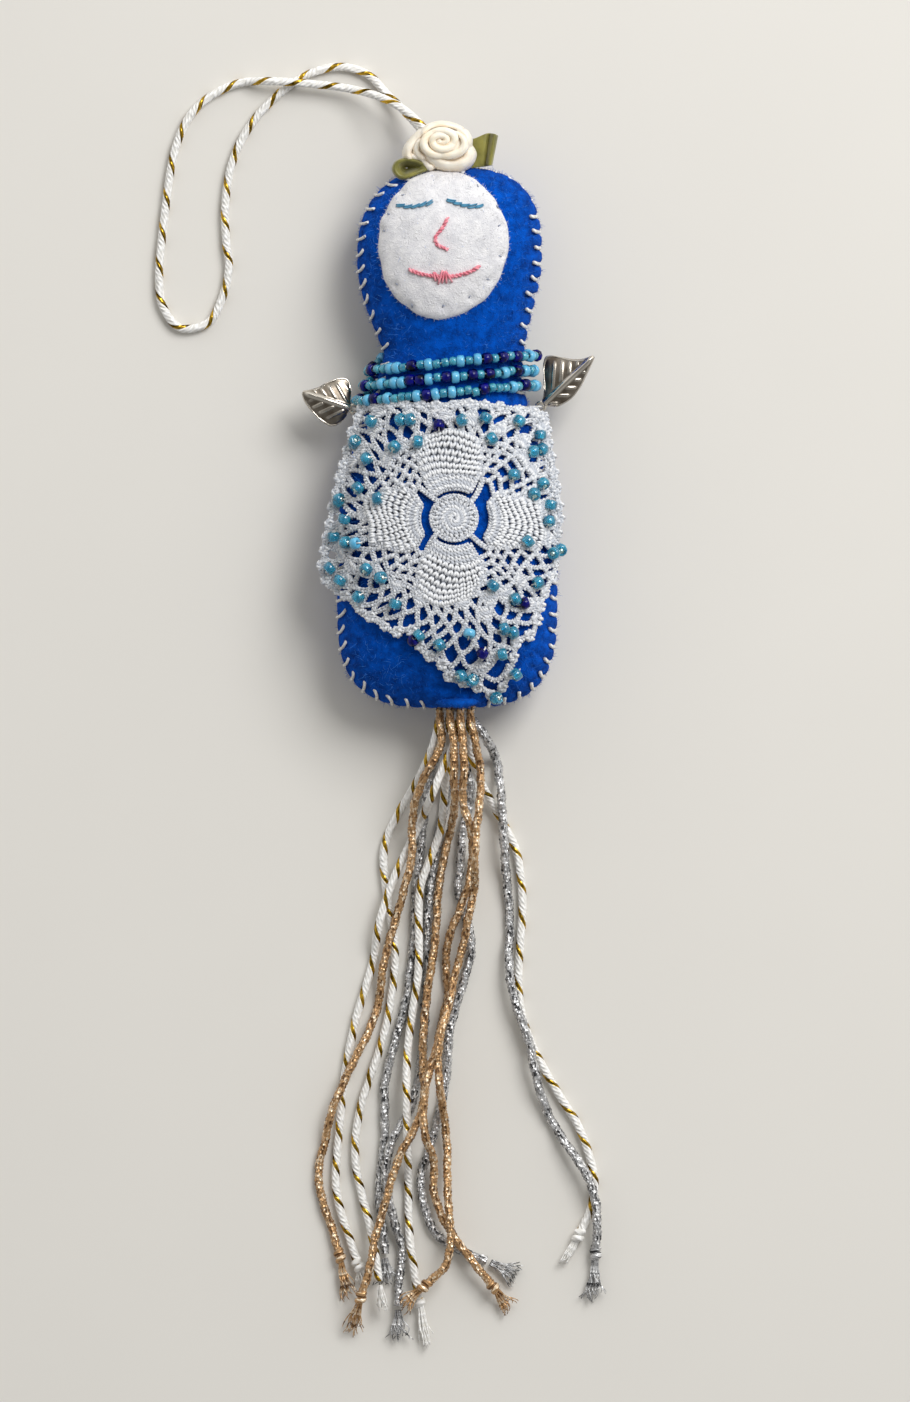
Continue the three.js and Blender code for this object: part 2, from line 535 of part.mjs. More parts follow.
// Centreline of a bead strand round the neck, clear of the felt by half a bead and the sewing gap.
function strandLine({ left, right, back }) {
  const steps = 240;
  const onNeck = (turn) => {
    const u = Math.cos(turn);
    const front = smooth(1 + Math.sin(turn) / backShare);
    const line = left + (right - left) * clamp(0.5 + (0.5 * u * neckHalf.right) / strandSpan, 0, 1);
    const y = back + (line - back) * front;
    const side = sideOf(u);
    const swell = Math.sin(turn) >= 0 ? swellAt(frontSwell, y) : -swellAt(backSwell, y);
    return at(u * halfWidth(side, y), y, seamZ + swell * swellCurve(Math.abs(u)));
  };
  const skin = Array.from({ length: steps }, (_, i) => onNeck((2 * Math.PI * i) / steps));
  return skin.map((p, i) => {
    const along = skin[(i + 2) % steps].clone().sub(skin[(i + steps - 2) % steps]);
    const out = at(along.z, 0, -along.x).normalize();
    const overSeam = smooth(2 - Math.abs(p.z - seamZ) / (stitchHeight / 2 + bead.radius));
    return p.clone().addScaledVector(out, bead.radius + sewnGap + overSeam * (2 * stitchRadius + sewnGap));
  });
}

// Beads strung on their thread: a belly and a waist for every bead.
function beadStrand(line) {
  const curve = new THREE.CatmullRomCurve3(strandLine(line), true);
  curve.arcLengthDivisions = 1000;
  const count = Math.round(curve.getLength() / bead.pitch);
  const frames = curve.computeFrenetFrames(2 * count, true);
  const rings = [];
  for (let i = 0; i < 2 * count; i += 1) {
    const centre = curve.getPointAt(i / (2 * count));
    const radius = i % 2 ? bead.threadRadius : bead.radius;
    rings.push(Array.from({ length: bead.sides }, (_, j) => {
      const angle = (2 * Math.PI * j) / bead.sides;
      return centre.clone().addScaledVector(frames.normals[i], radius * Math.cos(angle))
        .addScaledVector(frames.binormals[i], radius * Math.sin(angle));
    }));
  }
  return loft(rings, { closed: true });
}

// Where a charm's eyelet hangs, just outside the stitching, and the way that its leaf points.
function charmSeat({ side, y, tip }) {
  const sign = side === 'left' ? -1 : 1;
  const slope = (halfWidth(side, y + 0.5) - halfWidth(side, y - 0.5)) * sign;
  const out = at(1, -slope, 0).multiplyScalar(sign).normalize();
  const stand = 2 * sewnGap + 2 * stitchRadius + charm.eyelet + charm.wire;
  const pivot = at(sign * halfWidth(side, y), y, seamZ).addScaledVector(out, stand);
  const reach = at(tip[0] - pivot.x, tip[1] - pivot.y, 0);
  return { pivot, heading: Math.atan2(reach.y, reach.x), length: reach.length() };
}

function leafCharm(place) {
  const { pivot, heading, length } = charmSeat(place);
  const eyelet = new THREE.TorusGeometry(charm.eyelet, charm.wire, 8, 14);
  const start = charm.eyelet + charm.wire / 3;
  const { lobes, fullness } = place;
  const plate = leafPlate({
    ...charm, lobes, fullness, length: length - start, stem: 0.9, along: 10, across: 8,
  });
  return join(eyelet, plate.translate(start, 0, 0)).rotateZ(heading).translate(pivot.x, pivot.y, pivot.z);
}

// Reach of the doily in one direction: a round with points, stopped where the flank turns under.
function doilyReach(angle) {
  const degrees = THREE.MathUtils.radToDeg(angle);
  const points = doilyPoints.map(([place, rise, spread]) => {
    const away = THREE.MathUtils.euclideanModulo(degrees - place + 180, 360) - 180;
    return rise * Math.exp(-((away / spread) ** 2));
  });
  let reach = doily.reach + points.reduce((sum, rise) => sum + rise, 0);
  const step = 0.1;
  const share = () => seamShare(doily.x + reach * Math.cos(angle), doily.y + reach * Math.sin(angle));
  while (share() >= doilyEdge) reach -= step;
  return reach;
}

// Crochet as a pierced sheet over the torso: spokes and rounds of stitches, with the chain loops open.
function crochetDoily() {
  const { hub, eyelets, disc, petals, band } = doilyRings;
  const isOpen = (column, row) => {
    if (column % 2 === 1 || row % 2 === 1) return false;
    if (row === 0) return column % 4 === 0;
    return row > 2 || [2, 3].includes((column / 2) % 5);
  };
  const columns = 2 * doily.spokes;
  const pitch = (2 * Math.PI) / doily.spokes;
  const angles = Array.from({ length: columns }, (_, i) => {
    const half = (pitch * (1 - doily.spokeShare)) / 2;
    return pitch * Math.floor(i / 2) + (i % 2 ? half : -half);
  });
  const radiiAt = (angle) => {
    const reach = doilyReach(angle);
    return [hub, eyelets, disc, petals, band, ...netRows.map((share) => band + (reach - band) * share)];
  };
  const rows = radiiAt(0).length;
  const vertices = [];
  const put = (r, angle, lift) => {
    const vertex = onFront(doily.x + r * Math.cos(angle), doily.y + r * Math.sin(angle), lift);
    return vertices.push(vertex) - 1;
  };
  const sheet = [doily.lift, doily.lift + doily.thickness].map((lift) => ({
    centre: put(0, 0, lift),
    grid: angles.map((angle) => radiiAt(angle).map((r) => put(r, angle, lift))),
  }));
  const index = [];
  const quad = (a, b, c, d) => index.push(a, b, c, a, c, d);
  const [low, high] = sheet;
  for (let i = 0; i < columns; i += 1) {
    const k = (i + 1) % columns;
    index.push(high.centre, high.grid[i][0], high.grid[k][0], low.centre, low.grid[k][0], low.grid[i][0]);
    for (let row = 0; row < rows - 1; row += 1) {
      const corners = [[i, row], [k, row], [k, row + 1], [i, row + 1]];
      if (isOpen(i, row)) {
        corners.forEach(([p, q], n) => {
          const [r, t] = corners[(n + 1) % 4];
          quad(low.grid[p][q], low.grid[r][t], high.grid[r][t], high.grid[p][q]);
        });
      } else {
        quad(...corners.map(([p, q]) => low.grid[p][q]));
        quad(...corners.map(([p, q]) => high.grid[p][q]).reverse());
      }
    }
    const rim = rows - 1;
    quad(high.grid[i][rim], low.grid[i][rim], low.grid[k][rim], high.grid[k][rim]);
  }
  const geometry = new THREE.BufferGeometry();
  const position = vertices.flatMap((p) => [p.x, p.y, p.z]);
  geometry.setAttribute('position', new THREE.Float32BufferAttribute(position, 3));
  geometry.setIndex(index);
  return solid(geometry);
}

// Lays a cord along its route on the table and over the cords already there. It leaves its start, and
// its end where that is raised, in an easy fall, and passes over what it crosses in a long low hump. The
// last stretch, of the tail's length, is laid as one piece.
function layCord(route, { radiusAt, startZ, startFall, endZ, endFall, tail }, laid) {
  const flat = new THREE.CatmullRomCurve3(route.map(([x, y]) => at(x, y, 0)), false, 'centripetal');
  flat.arcLengthDivisions = 1000;
  const length = flat.getLength();
  const bodySteps = Math.round((length - tail) / cordStep);
  const places = Array.from({ length: bodySteps + 1 }, (_, i) => ((length - tail) * i) / bodySteps);
  if (tail > 0) places.push(length);
  const fall = (t) => smooth(1 - clamp(t, 0, 1));
  const points = places.map((s) => {
    const p = flat.getPointAt(Math.min(1, s / length));
    const floor = radiusAt(s, length) + tableGap;
    const down = (startZ - floor) * fall(s / startFall);
    const rise = (endZ - floor) * fall((length - tail - s) / endFall);
    p.z = floor + Math.max(down, rise, 0);
    return p;
  });
  const steps = points.length - 1;
  const share = 8;
  const chordPoint = (i, k) => ({
    point: points[i].clone().lerp(points[i + 1], k / share),
    radius: radiusAt(places[i] + ((places[i + 1] - places[i]) * k) / share, length),
  });
  const clearOf = (own, other) => {
    const apart = own.radius + other.radius + cordGap;
    const away = Math.hypot(own.point.x - other.point.x, own.point.y - other.point.y);
    return away < apart ? other.point.z + Math.sqrt(apart * apart - away * away) : 0;
  };
  for (let pass = 0; pass < 3; pass += 1) {
    const need = points.map((p) => p.z);
    for (let i = 0; i < steps; i += 1) {
      for (let k = 0; k <= share; k += 1) {
        const own = chordPoint(i, k);
        let z = 0;
        laid.forEach((other) => { z = Math.max(z, clearOf(own, other)); });
        for (let j = 0; j < i - 3; j += 1) {
          for (let m = 0; m <= share; m += 1) z = Math.max(z, clearOf(own, chordPoint(j, m)));
        }
        need[i] = Math.max(need[i], z);
        need[i + 1] = Math.max(need[i + 1], z);
      }
    }
    points.forEach((p, i) => {
      need.forEach((z, j) => {
        const along = clamp(Math.abs(places[i] - places[j]) / humpShoulder, 0, 1);
        const floor = radiusAt(places[i], length) + tableGap;
        p.z = Math.max(p.z, floor + (z - floor) * fall(along));
      });
    });
  }
  for (let i = 0; i < steps; i += 1) {
    for (let k = 0; k < share; k += 1) laid.push(chordPoint(i, k));
  }
  return points;
}

// A tassel cord with its knot, or the whipping in place of one, and its frayed tuft.
function tasselCord({ slot, knot, tuft, route, name }, laid) {
  const radius = cordDiameter[name.split('_')[0]] / 2;
  const wide = knot ? knotRadius : radius * whippingSwell;
  const half = knotLength / 2;
  const [column, row] = slot;
  const startX = tasselX + (column - 1.5) * slotPitch;
  const startY = hemY - bindingOut - sewnGap;
  const [beforeLast, last] = route.slice(-2).map(([x, y]) => new THREE.Vector2(x, y));
  const tail = half + tuft;
  const end = last.clone().addScaledVector(last.clone().sub(beforeLast).normalize(), tail);
  const run = [[startX, startY], [startX, startY - slotPitch], ...route, [end.x, end.y]];
  const radiusAt = (s, length) => {
    if (s > length - tail + half) return tuftRadius;
    return s > length - tail - half ? wide : radius;
  };
  const startZ = seamZ + (row - 1) * slotPitch;
  const endFall = 2 * knotLength;
  const points = layCord(run, { radiusAt, tail, startZ, startFall: cordFall, endZ: tuftRadius, endFall }, laid);
  const tip = points.at(-2);
  const body = tube(points.slice(0, -1), radius, 8, points.length - 2);
  const heading = points.at(-1).clone().sub(tip).normalize();
  const aim = new THREE.Matrix4().lookAt(heading, at(0, 0, 0), at(0, 0, 1)).setPosition(tip);
  const lie = (piece) => piece.rotateX(Math.PI / 2).applyMatrix4(aim);
  const nip = 0.6 * wide;
  const shoulder = half / 2;
  const swelling = turned([[0, -half], [nip, -half], [wide, -shoulder], [wide, shoulder], [nip, half],
    [0, half]], 8);
  const spread = (radius + tuftRadius) / 2;
  const fray = turned([[0, 0], [radius, 0], [spread, half + tuft / 2], [tuftRadius, tail], [0, tail]], 8);
  fray.scale(1, 1, tuftFlatness);
  return join(body, lie(swelling), lie(fray));
}

function hangingLoop() {
  const radius = cordDiameter.white / 2;
  const startY = crownY + 2 * sewnGap;
  const run = [[loopX, startY], ...loopRoute, [loopX, startY]];
  const startZ = seamZ - loopPitch / 2;
  const endZ = seamZ + loopPitch / 2;
  const falls = { startZ, startFall: loopFall, endZ, endFall: loopFall };
  const points = layCord(run, { radiusAt: () => radius, tail: 0, ...falls }, []);
  return tube(points, radius, 8, points.length - 1);
}

// Assembly
function finish(color, roughness, metalness = 0) {
  return new THREE.MeshStandardMaterial({ color, roughness, metalness });
}

const blueFelt = finish('#0a52bd', 0.95);
const whiteFelt = finish('#e9e9ee', 0.95);
const whiteThread = finish('#f1f1f1', 0.7);
const doll = new THREE.Group();
doll.position.y = -restY;

function add(name, geometry, material) {
  const mesh = new THREE.Mesh(geometry, material);
  mesh.name = name;
  doll.add(mesh);
}

add('back_felt', feltPanel(backSwell, -1), blueFelt);
add('front_felt', feltPanel(frontSwell, 1), blueFelt);
add('stuffing', stuffingFill(), finish('#f4f2ea', 1));
const mouthEdge = mouthHalf.width + stitchPitch / 2;
const mouthEdges = { left: mouthEdge - tasselX, right: mouthEdge + tasselX };
const loopEdges = { left: -loopX + stitchPitch, right: loopX + stitchPitch };
['left', 'right'].forEach((side) => {
  add(`edge_stitching_${side}`, edgeStitching(side, loopEdges[side], mouthEdges[side]), whiteThread);
});

add('face_felt', faceFelt(), whiteFelt);
add('left_eye', embroidery(leftEye, eyeThread), finish('#2f7f9f', 0.6));
add('right_eye', embroidery(rightEye, eyeThread), finish('#2f7f9f', 0.6));
add('nose', embroidery(noseLine, noseThread), finish('#e8607a', 0.6));
add('mouth', mouthStitching(), finish('#e8607a', 0.6));

add('ribbon_rose', ribbonRose(), finish('#f3e6cf', 0.4));
Object.entries(roseLeafPlaces).forEach(([side, place]) => {
  add(`rose_leaf_${side}`, roseLeafPiece(place), finish('#6b7434', 0.45));
});

Object.entries(strands).forEach(([name, line]) => add(name, beadStrand(line), finish('#3fa0c8', 0.15)));
Object.entries(charmPlaces).forEach(([name, place]) => add(name, leafCharm(place), finish('#8f9296', 0.3, 1)));
add('doily', crochetDoily(), finish('#ccd3de', 0.85));

add('hanging_loop', hangingLoop(), finish('#efece6', 0.7));
add('tassel_binding', tasselBinding(), whiteThread);
const laid = [];
const cordFinish = {
  white: finish('#efece6', 0.7),
  copper: finish('#b98a5c', 0.35, 0.6),
  silver: finish('#a9aaad', 0.35, 0.6),
};
tassel.forEach((cord) => add(cord.name, tasselCord(cord, laid), cordFinish[cord.name.split('_')[0]]));

export default doll;
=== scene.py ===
import bmesh
import bpy
import numpy as np
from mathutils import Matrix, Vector


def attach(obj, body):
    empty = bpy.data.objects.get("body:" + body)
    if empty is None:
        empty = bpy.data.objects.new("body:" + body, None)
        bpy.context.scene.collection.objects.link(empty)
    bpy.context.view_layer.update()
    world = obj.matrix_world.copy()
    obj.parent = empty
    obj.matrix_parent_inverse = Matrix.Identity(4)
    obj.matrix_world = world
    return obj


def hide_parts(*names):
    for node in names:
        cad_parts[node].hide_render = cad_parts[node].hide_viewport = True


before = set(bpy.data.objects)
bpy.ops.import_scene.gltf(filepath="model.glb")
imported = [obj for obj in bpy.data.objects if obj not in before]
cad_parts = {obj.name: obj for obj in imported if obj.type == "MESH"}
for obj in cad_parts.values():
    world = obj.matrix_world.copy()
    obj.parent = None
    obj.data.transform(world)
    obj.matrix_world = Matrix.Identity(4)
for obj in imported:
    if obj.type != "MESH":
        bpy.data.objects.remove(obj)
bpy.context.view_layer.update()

rng = np.random.default_rng(12)
tau = 2 * np.pi
shoulderY = 28.0         # mm from the frame's origin up to the shoulder line that lengths start from


# Small sums that every piece uses. Lengths are in mm from the shoulder line until a mesh is made.
def smooth(t):
    t = np.clip(t, 0, 1)
    return t * t * (3 - 2 * t)


def ramp(value, start, reach):
    return smooth((value - start) / reach)


def fade(value, end, reach):
    return smooth((end - value) / reach)


def unit(v):
    return v / np.maximum(np.linalg.norm(v, axis=-1, keepdims=True), 1e-9)


def ringOf(count):
    return tau * np.arange(count) / count      # angles once round


def joined(*parts):
    return np.stack(np.broadcast_arrays(*parts), -1)


def withHeight(flat, z):
    return np.concatenate([flat, z[..., None]], -1)


def curveThrough(points, perSpan):
    # Centripetal curve through the points: a cubic in each span, whose end slopes weigh the chords
    # beside it by the square root of their lengths. Works on a batch of equally long rows too.
    p = np.asarray(points, float)
    p = np.concatenate([2 * p[..., :1, :] - p[..., 1:2, :], p, 2 * p[..., -1:, :] - p[..., -2:-1, :]], -2)
    step = np.sqrt(np.linalg.norm(np.diff(p, axis=-2), axis=-1, keepdims=True)) + 1e-9
    slope = np.diff(p, axis=-2) / step
    wide = (p[..., 2:, :] - p[..., :-2, :]) / (step[..., 1:, :] + step[..., :-1, :])
    pull = slope[..., :-1, :] - wide + slope[..., 1:, :]
    middle = step[..., 1:-1, :]
    start, end = p[..., 1:-2, None, :], p[..., 2:-1, None, :]
    startPull, endPull = ((pull[..., a, :] * middle)[..., None, :] for a in (slice(0, -1), slice(1, None)))
    t = (np.arange(perSpan) / perSpan)[:, None]
    curve = (start * (1 + 2 * t) * (1 - t) ** 2 + startPull * t * (1 - t) ** 2
             + end * t * t * (3 - 2 * t) + endPull * t * t * (t - 1))
    curve = curve.reshape(p.shape[:-2] + (-1, p.shape[-1]))
    return np.concatenate([curve, p[..., -2:-1, :]], -2)


def lengthAlong(path):
    return np.concatenate([[0], np.cumsum(np.linalg.norm(np.diff(path, axis=0), axis=1))])


def pointsAt(path, places):
    along = lengthAlong(path)
    return np.stack([np.interp(places, along, path[:, i]) for i in range(path.shape[1])], -1)


def evenly(path, step):
    length = lengthAlong(path)[-1]
    return pointsAt(path, np.linspace(0, length, max(3, int(round(length / step)) + 1)))


def drawn(route, perSpan, step):
    return evenly(curveThrough(np.array(route, float), perSpan), step)


# Meshes. A part of a piece is a dictionary: its points, its blocks of faces, the material slot of its
# faces, and its rope, the place of each point on a cord pulled straight.
def gridQuads(rows, columns, roundRows=False, roundColumns=False):
    r = np.arange(rows if roundRows else rows - 1)[:, None]
    c = np.arange(columns if roundColumns else columns - 1)[None, :]
    r, r1, c1 = r * columns, (r + 1) % rows * columns, (c + 1) % columns
    return joined(r + c, r + c1, r1 + c1, r1 + c).reshape(-1, 4)


def pathFrames(path, up):
    along = unit(np.gradient(path, axis=-2))
    across = unit(np.cross(np.broadcast_to(up, along.shape), along))
    return along, across, np.cross(along, across)


def tube(paths, radius, sides=6, up=(0.0, 0.0, 1.0), turn=0.0, slot=0):
    # A round section carried along each path: centre + radius (cos a across + sin a upward).
    paths = np.asarray(paths, float).reshape((-1,) + np.shape(paths)[-2:])
    count, steps = paths.shape[:2]
    radius = np.asarray(radius, float)
    radius = radius if radius.ndim == 3 else radius[..., None]
    radius = np.broadcast_to(radius, (count, steps, sides))[..., None]
    along, across, rise = (v[:, :, None] for v in pathFrames(paths, up))
    place = ringOf(sides)
    angle = np.broadcast_to(place + np.asarray(turn, float)[..., None], (count, steps, sides))[..., None]
    points = paths[:, :, None] + radius * (np.cos(angle) * across + np.sin(angle) * rise)
    run = np.linalg.norm(np.diff(paths, axis=1, prepend=paths[:, :1]), axis=-1).cumsum(1)
    flat = np.broadcast_to(place, (count, steps, sides))[..., None]
    rope = np.concatenate([radius * np.cos(flat), radius * np.sin(flat),
                           np.broadcast_to(run[:, :, None, None], flat.shape)], -1)
    first = (np.arange(count) * steps * sides)[:, None]
    quads = (first[:, :, None] + gridQuads(steps, sides, roundColumns=True)).reshape(-1, 4)
    caps = np.concatenate([first + np.arange(sides)[::-1], first + (steps - 1) * sides + np.arange(sides)])
    return dict(points=points.reshape(-1, 3), faces=[quads, caps], slot=slot, rope=rope.reshape(-1, 3))


def slab(surface, thickness, slot=0):
    # A thin closed plate: the surface moved half the thickness to each side along its normal, with a rim.
    rows, columns = surface.shape[:2]
    normal = unit(np.cross(np.gradient(surface, axis=1), np.gradient(surface, axis=0)))
    half = np.asarray(thickness, float)[..., None] / 2 * normal
    index = np.arange(rows * columns).reshape(rows, columns)
    loop = np.concatenate([index[0, :-1], index[:-1, -1], index[-1, :0:-1], index[:0:-1, 0]])
    after = np.roll(loop, -1)
    low = rows * columns
    top = gridQuads(rows, columns)
    rim = np.stack([loop + low, after + low, after, loop], -1)
    points = np.concatenate([(surface + half).reshape(-1, 3), (surface - half).reshape(-1, 3)])
    return dict(points=points, faces=[np.concatenate([top, top[:, ::-1] + low, rim])], slot=slot)


def ringed(surface, flip=False, caps=()):
    # Rings of points joined into a skin. A cap closes one ring: the ring's number and the way round it.
    rows, columns = surface.shape[:2]
    quads = gridQuads(rows, columns, roundColumns=True)[:, ::-1 if flip else 1]
    ends = [np.arange(columns)[None, ::way] + ring * columns for ring, way in caps]
    return dict(points=surface.reshape(-1, 3), faces=[quads, *ends], slot=0)


def inFrame(points):
    return (np.asarray(points) + (0, shoulderY, 0)) / 1000      # mm from the shoulder line to metres


def putPiece(name, slot, parts, materials, stands=(), body="doll", weld=False):
    first, points, faces, slots, ropes = 0, [], [], [], []
    for part in parts:
        points.append(part["points"])
        ropes.append(part.get("rope", part["points"]))
        faces += [block + first for block in part["faces"]]
        given = part["slot"] if isinstance(part["slot"], list) else [part["slot"]] * len(part["faces"])
        slots += [np.broadcast_to(s, len(block)) for s, block in zip(given, part["faces"])]
        first += len(part["points"])
    mesh = bpy.data.meshes.new(name)
    mesh.vertices.add(first)
    mesh.vertices.foreach_set("co", inFrame(np.concatenate(points)).astype(np.float32).ravel())
    corners = np.concatenate([block.ravel() for block in faces]).astype(np.int32)
    sizes = np.concatenate([np.full(len(block), block.shape[1]) for block in faces])
    mesh.loops.add(len(corners))
    mesh.loops.foreach_set("vertex_index", corners)
    mesh.polygons.add(len(sizes))
    mesh.polygons.foreach_set("loop_start", (np.cumsum(sizes) - sizes).astype(np.int32))
    mesh.polygons.foreach_set("material_index", np.concatenate(slots).astype(np.int32))
    rope = mesh.attributes.new("rope", "FLOAT_VECTOR", "POINT")
    rope.data.foreach_set("vector", (np.concatenate(ropes) / 1000).astype(np.float32).ravel())
    mesh.update(calc_edges=True)
    mesh.validate()
    if weld:             # points that fall together become one, as on the spine and at poles
        loose = bmesh.new()
        loose.from_mesh(mesh)
        bmesh.ops.remove_doubles(loose, verts=loose.verts, dist=2e-6)
        bmesh.ops.dissolve_degenerate(loose, edges=loose.edges, dist=1e-7)
        loose.to_mesh(mesh)
        loose.free()
    mesh.shade_smooth()
    for material in materials:
        mesh.materials.append(material)
    piece = bpy.data.objects.new(name, mesh)
    bpy.context.scene.collection.objects.link(piece)
    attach(piece, body)
    if stands:
        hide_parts(*stands)
    return piece


# Materials
def colour(hexValue):
    rgb = np.array([int(hexValue[i:i + 2], 16) for i in (1, 3, 5)]) / 255
    linear = np.where(rgb <= 0.04045, rgb / 12.92, ((rgb + 0.055) / 1.055) ** 2.4)
    return (*linear, 1.0)


def addNode(tree, kind, settings=None, **sockets):
    node = tree.nodes.new(kind)
    for key, value in (settings or {}).items():
        setattr(node, key, value)
    for key, value in sockets.items():
        socket = node.inputs[int(key[1:]) if key[1:].isdigit() else key.replace("_", " ")]
        if isinstance(value, bpy.types.NodeSocket):
            tree.links.new(value, socket)
        else:
            socket.default_value = value
    return node


def newMaterial(name, along, **sockets):
    # A bare shader, and the place that its pattern follows: on the object, or on a cord pulled straight.
    material = bpy.data.materials.new(name)
    material.use_nodes = True
    tree = material.node_tree
    tree.nodes.clear()
    shader = addNode(tree, "ShaderNodeBsdfPrincipled", **sockets)
    addNode(tree, "ShaderNodeOutputMaterial", Surface=shader.outputs[0])
    if along == "rope":
        place = addNode(tree, "ShaderNodeAttribute", {"attribute_name": "rope"}).outputs["Vector"]
    else:
        place = addNode(tree, "ShaderNodeTexCoord").outputs["Object"]
    return material, tree, shader, place


def perMm(size):
    return 1000 / size    # a texture's scale for a pattern of that size in mm


def noise(tree, place, size, detail, kind="FBM", **sockets):
    return addNode(tree, "ShaderNodeTexNoise", {"noise_type": kind}, Vector=place, Scale=perMm(size),
                   Detail=detail, **sockets).outputs[0]


def wave(tree, place, direction, pitch, **sockets):
    return addNode(tree, "ShaderNodeTexWave", {"bands_direction": direction}, Vector=place,
                   Scale=perMm(pitch) / tau, **sockets).outputs[1]


def ranged(tree, value, low=0.0, high=1.0, toLow=0.0, toHigh=1.0):
    return addNode(tree, "ShaderNodeMapRange", Value=value, From_Min=low, From_Max=high, To_Min=toLow,
                   To_Max=toHigh).outputs[0]


def mixed(tree, share, first, second):
    first, second = (colour(c) if isinstance(c, str) else c for c in (first, second))
    return addNode(tree, "ShaderNodeMix", {"data_type": "RGBA"}, i0=share, i6=first, i7=second).outputs[2]


def reckon(tree, operation, *values):
    sockets = {"i%d" % i: value for i, value in enumerate(values)}
    return addNode(tree, "ShaderNodeMath", {"operation": operation}, **sockets).outputs[0]


def dress(tree, shader, base, height=None, strength=0.0, depth=0.0, gloss=None):
    # Joins the colour, and where they are given the relief and the roughness, to the shader.
    tree.links.new(base, shader.inputs["Base Color"])
    if height:
        bump = addNode(tree, "ShaderNodeBump", Strength=strength, Distance=depth, Height=height)
        tree.links.new(bump.outputs[0], shader.inputs["Normal"])
    if gloss:
        tree.links.new(gloss, shader.inputs["Roughness"])


# Needle felt: matt, matted fibres lying every way, darker where they are dense, with a few pale hairs.
def needleFelt(name, main, dark, pale, sheen):
    nap = dict(clump=2.6, fibre=0.55, hair=0.9, relief=0.7, depth=0.00035)
    material, tree, shader, place = newMaterial(name, "object", Roughness=0.95, Sheen_Weight=sheen,
                                                Sheen_Roughness=0.6, Specular_IOR_Level=0.03)
    clump = noise(tree, place, nap["clump"], 5.0, Roughness=0.65)
    fibre = noise(tree, place, nap["fibre"], 3.0, Distortion=2.5)
    hair = noise(tree, place, nap["hair"], 2.0, "RIDGED_MULTIFRACTAL", Distortion=1.2)
    base = mixed(tree, ranged(tree, clump, 0.36, 0.64), dark, main)
    mottled = mixed(tree, ranged(tree, fibre, 0.3, 0.75, 0.0, 0.65), base, main)
    haired = mixed(tree, ranged(tree, hair, 1.15, 1.9, 0.0, 0.4), mottled, pale)
    dress(tree, shader, haired, reckon(tree, "ADD", fibre, hair), nap["relief"], nap["depth"])
    return material


# Spun thread: fine plies that wind round the thread, so stripes across it on the straightened thread. The
# stripes are painted darker in the grooves between the plies, painted shade, and a wisp noise makes the tone
# uneven at random.
def spunThread(name, main, dark, roughness, plyPitch, sheen=0.2):
    spun = dict(wisp=1.1, relief=0.6, depth=0.0002)
    material, tree, shader, rope = newMaterial(name, "rope", Roughness=roughness, Sheen_Weight=sheen)
    ply = wave(tree, rope, "DIAGONAL", plyPitch, Distortion=1.5, Detail=2.0, Detail_Scale=2.0)
    shade = reckon(tree, "MULTIPLY", ply, noise(tree, rope, spun["wisp"], 3.0))
    base = mixed(tree, ranged(tree, shade, 0.1, 0.5), dark, main)
    dress(tree, shader, base, ply, spun["relief"], spun["depth"])
    return material


# Metallic yarn: flat bright filaments knitted into a cord, each facing its own way. Cell by cell the colour
# is painted: bright cells are painted glints and dark cells painted reflections of the dark.
def metallicYarn(name, dark, main, bright):
    yarn = dict(filament=0.42, stretch=0.5, relief=0.8, depth=0.0003, gloss=(0.18, 0.5))
    material, tree, shader, rope = newMaterial(name, "rope", Metallic=0.6)
    pulled = addNode(tree, "ShaderNodeMapping", Vector=rope, Scale=(1.0, 1.0, yarn["stretch"])).outputs[0]
    cell = addNode(tree, "ShaderNodeTexVoronoi", Vector=pulled, Scale=perMm(yarn["filament"]))
    share = addNode(tree, "ShaderNodeSeparateColor", Color=cell.outputs["Color"]).outputs
    # Dark cells: painted reflections of the dark; bright cells below: painted glints.
    base = mixed(tree, ranged(tree, share[0], 0.08, 0.3), dark, main)
    paintedGlints = mixed(tree, ranged(tree, share[0], 0.72, 0.95), base, bright)
    gloss = ranged(tree, share[1], 0.0, 1.0, *yarn["gloss"])
    dress(tree, shader, paintedGlints, cell.outputs["Distance"], yarn["relief"], yarn["depth"], gloss)
    return material


# Gold foil strip: a thin metal film slit into tape, bright with small creases, painted darker in their low
# places: painted shade.
def goldFoil():
    foil = dict(main="#cfa636", deep="#574105", crease=1.6, relief=0.5, depth=0.0002)
    material, tree, shader, rope = newMaterial("gold_foil", "rope", Metallic=1.0, Roughness=0.25)
    crease = noise(tree, rope, foil["crease"], 2.0)
    base = mixed(tree, ranged(tree, crease, 0.35, 0.6), foil["deep"], foil["main"])
    dress(tree, shader, base, crease, foil["relief"], foil["depth"])
    return material


# Satin ribbon: floats of fine silky yarn, so a soft broad gloss with faint ribs and a little crumpling. The
# low places of the crumples are painted the deeper colour: painted shade in the creases.
def satin(name, main, deep):
    ribbon = dict(rib=0.4, crumple=3.0, crumpleHeight=3.0, relief=0.25, depth=0.0002)
    material, tree, shader, place = newMaterial(name, "object", Roughness=0.42, Sheen_Weight=0.3,
                                                Specular_IOR_Level=0.4, Subsurface_Weight=0.35,
                                                Subsurface_Scale=0.0012, Subsurface_Radius=(1.0, 0.9, 0.75))
    rib = wave(tree, place, "Z", ribbon["rib"], Distortion=0.6)
    crumple = noise(tree, place, ribbon["crumple"], 3.0)
    height = reckon(tree, "MULTIPLY_ADD", crumple, ribbon["crumpleHeight"], rib)
    base = mixed(tree, ranged(tree, crumple, 0.3, 0.65), deep, main)
    dress(tree, shader, base, height, ribbon["relief"], ribbon["depth"])
    return material


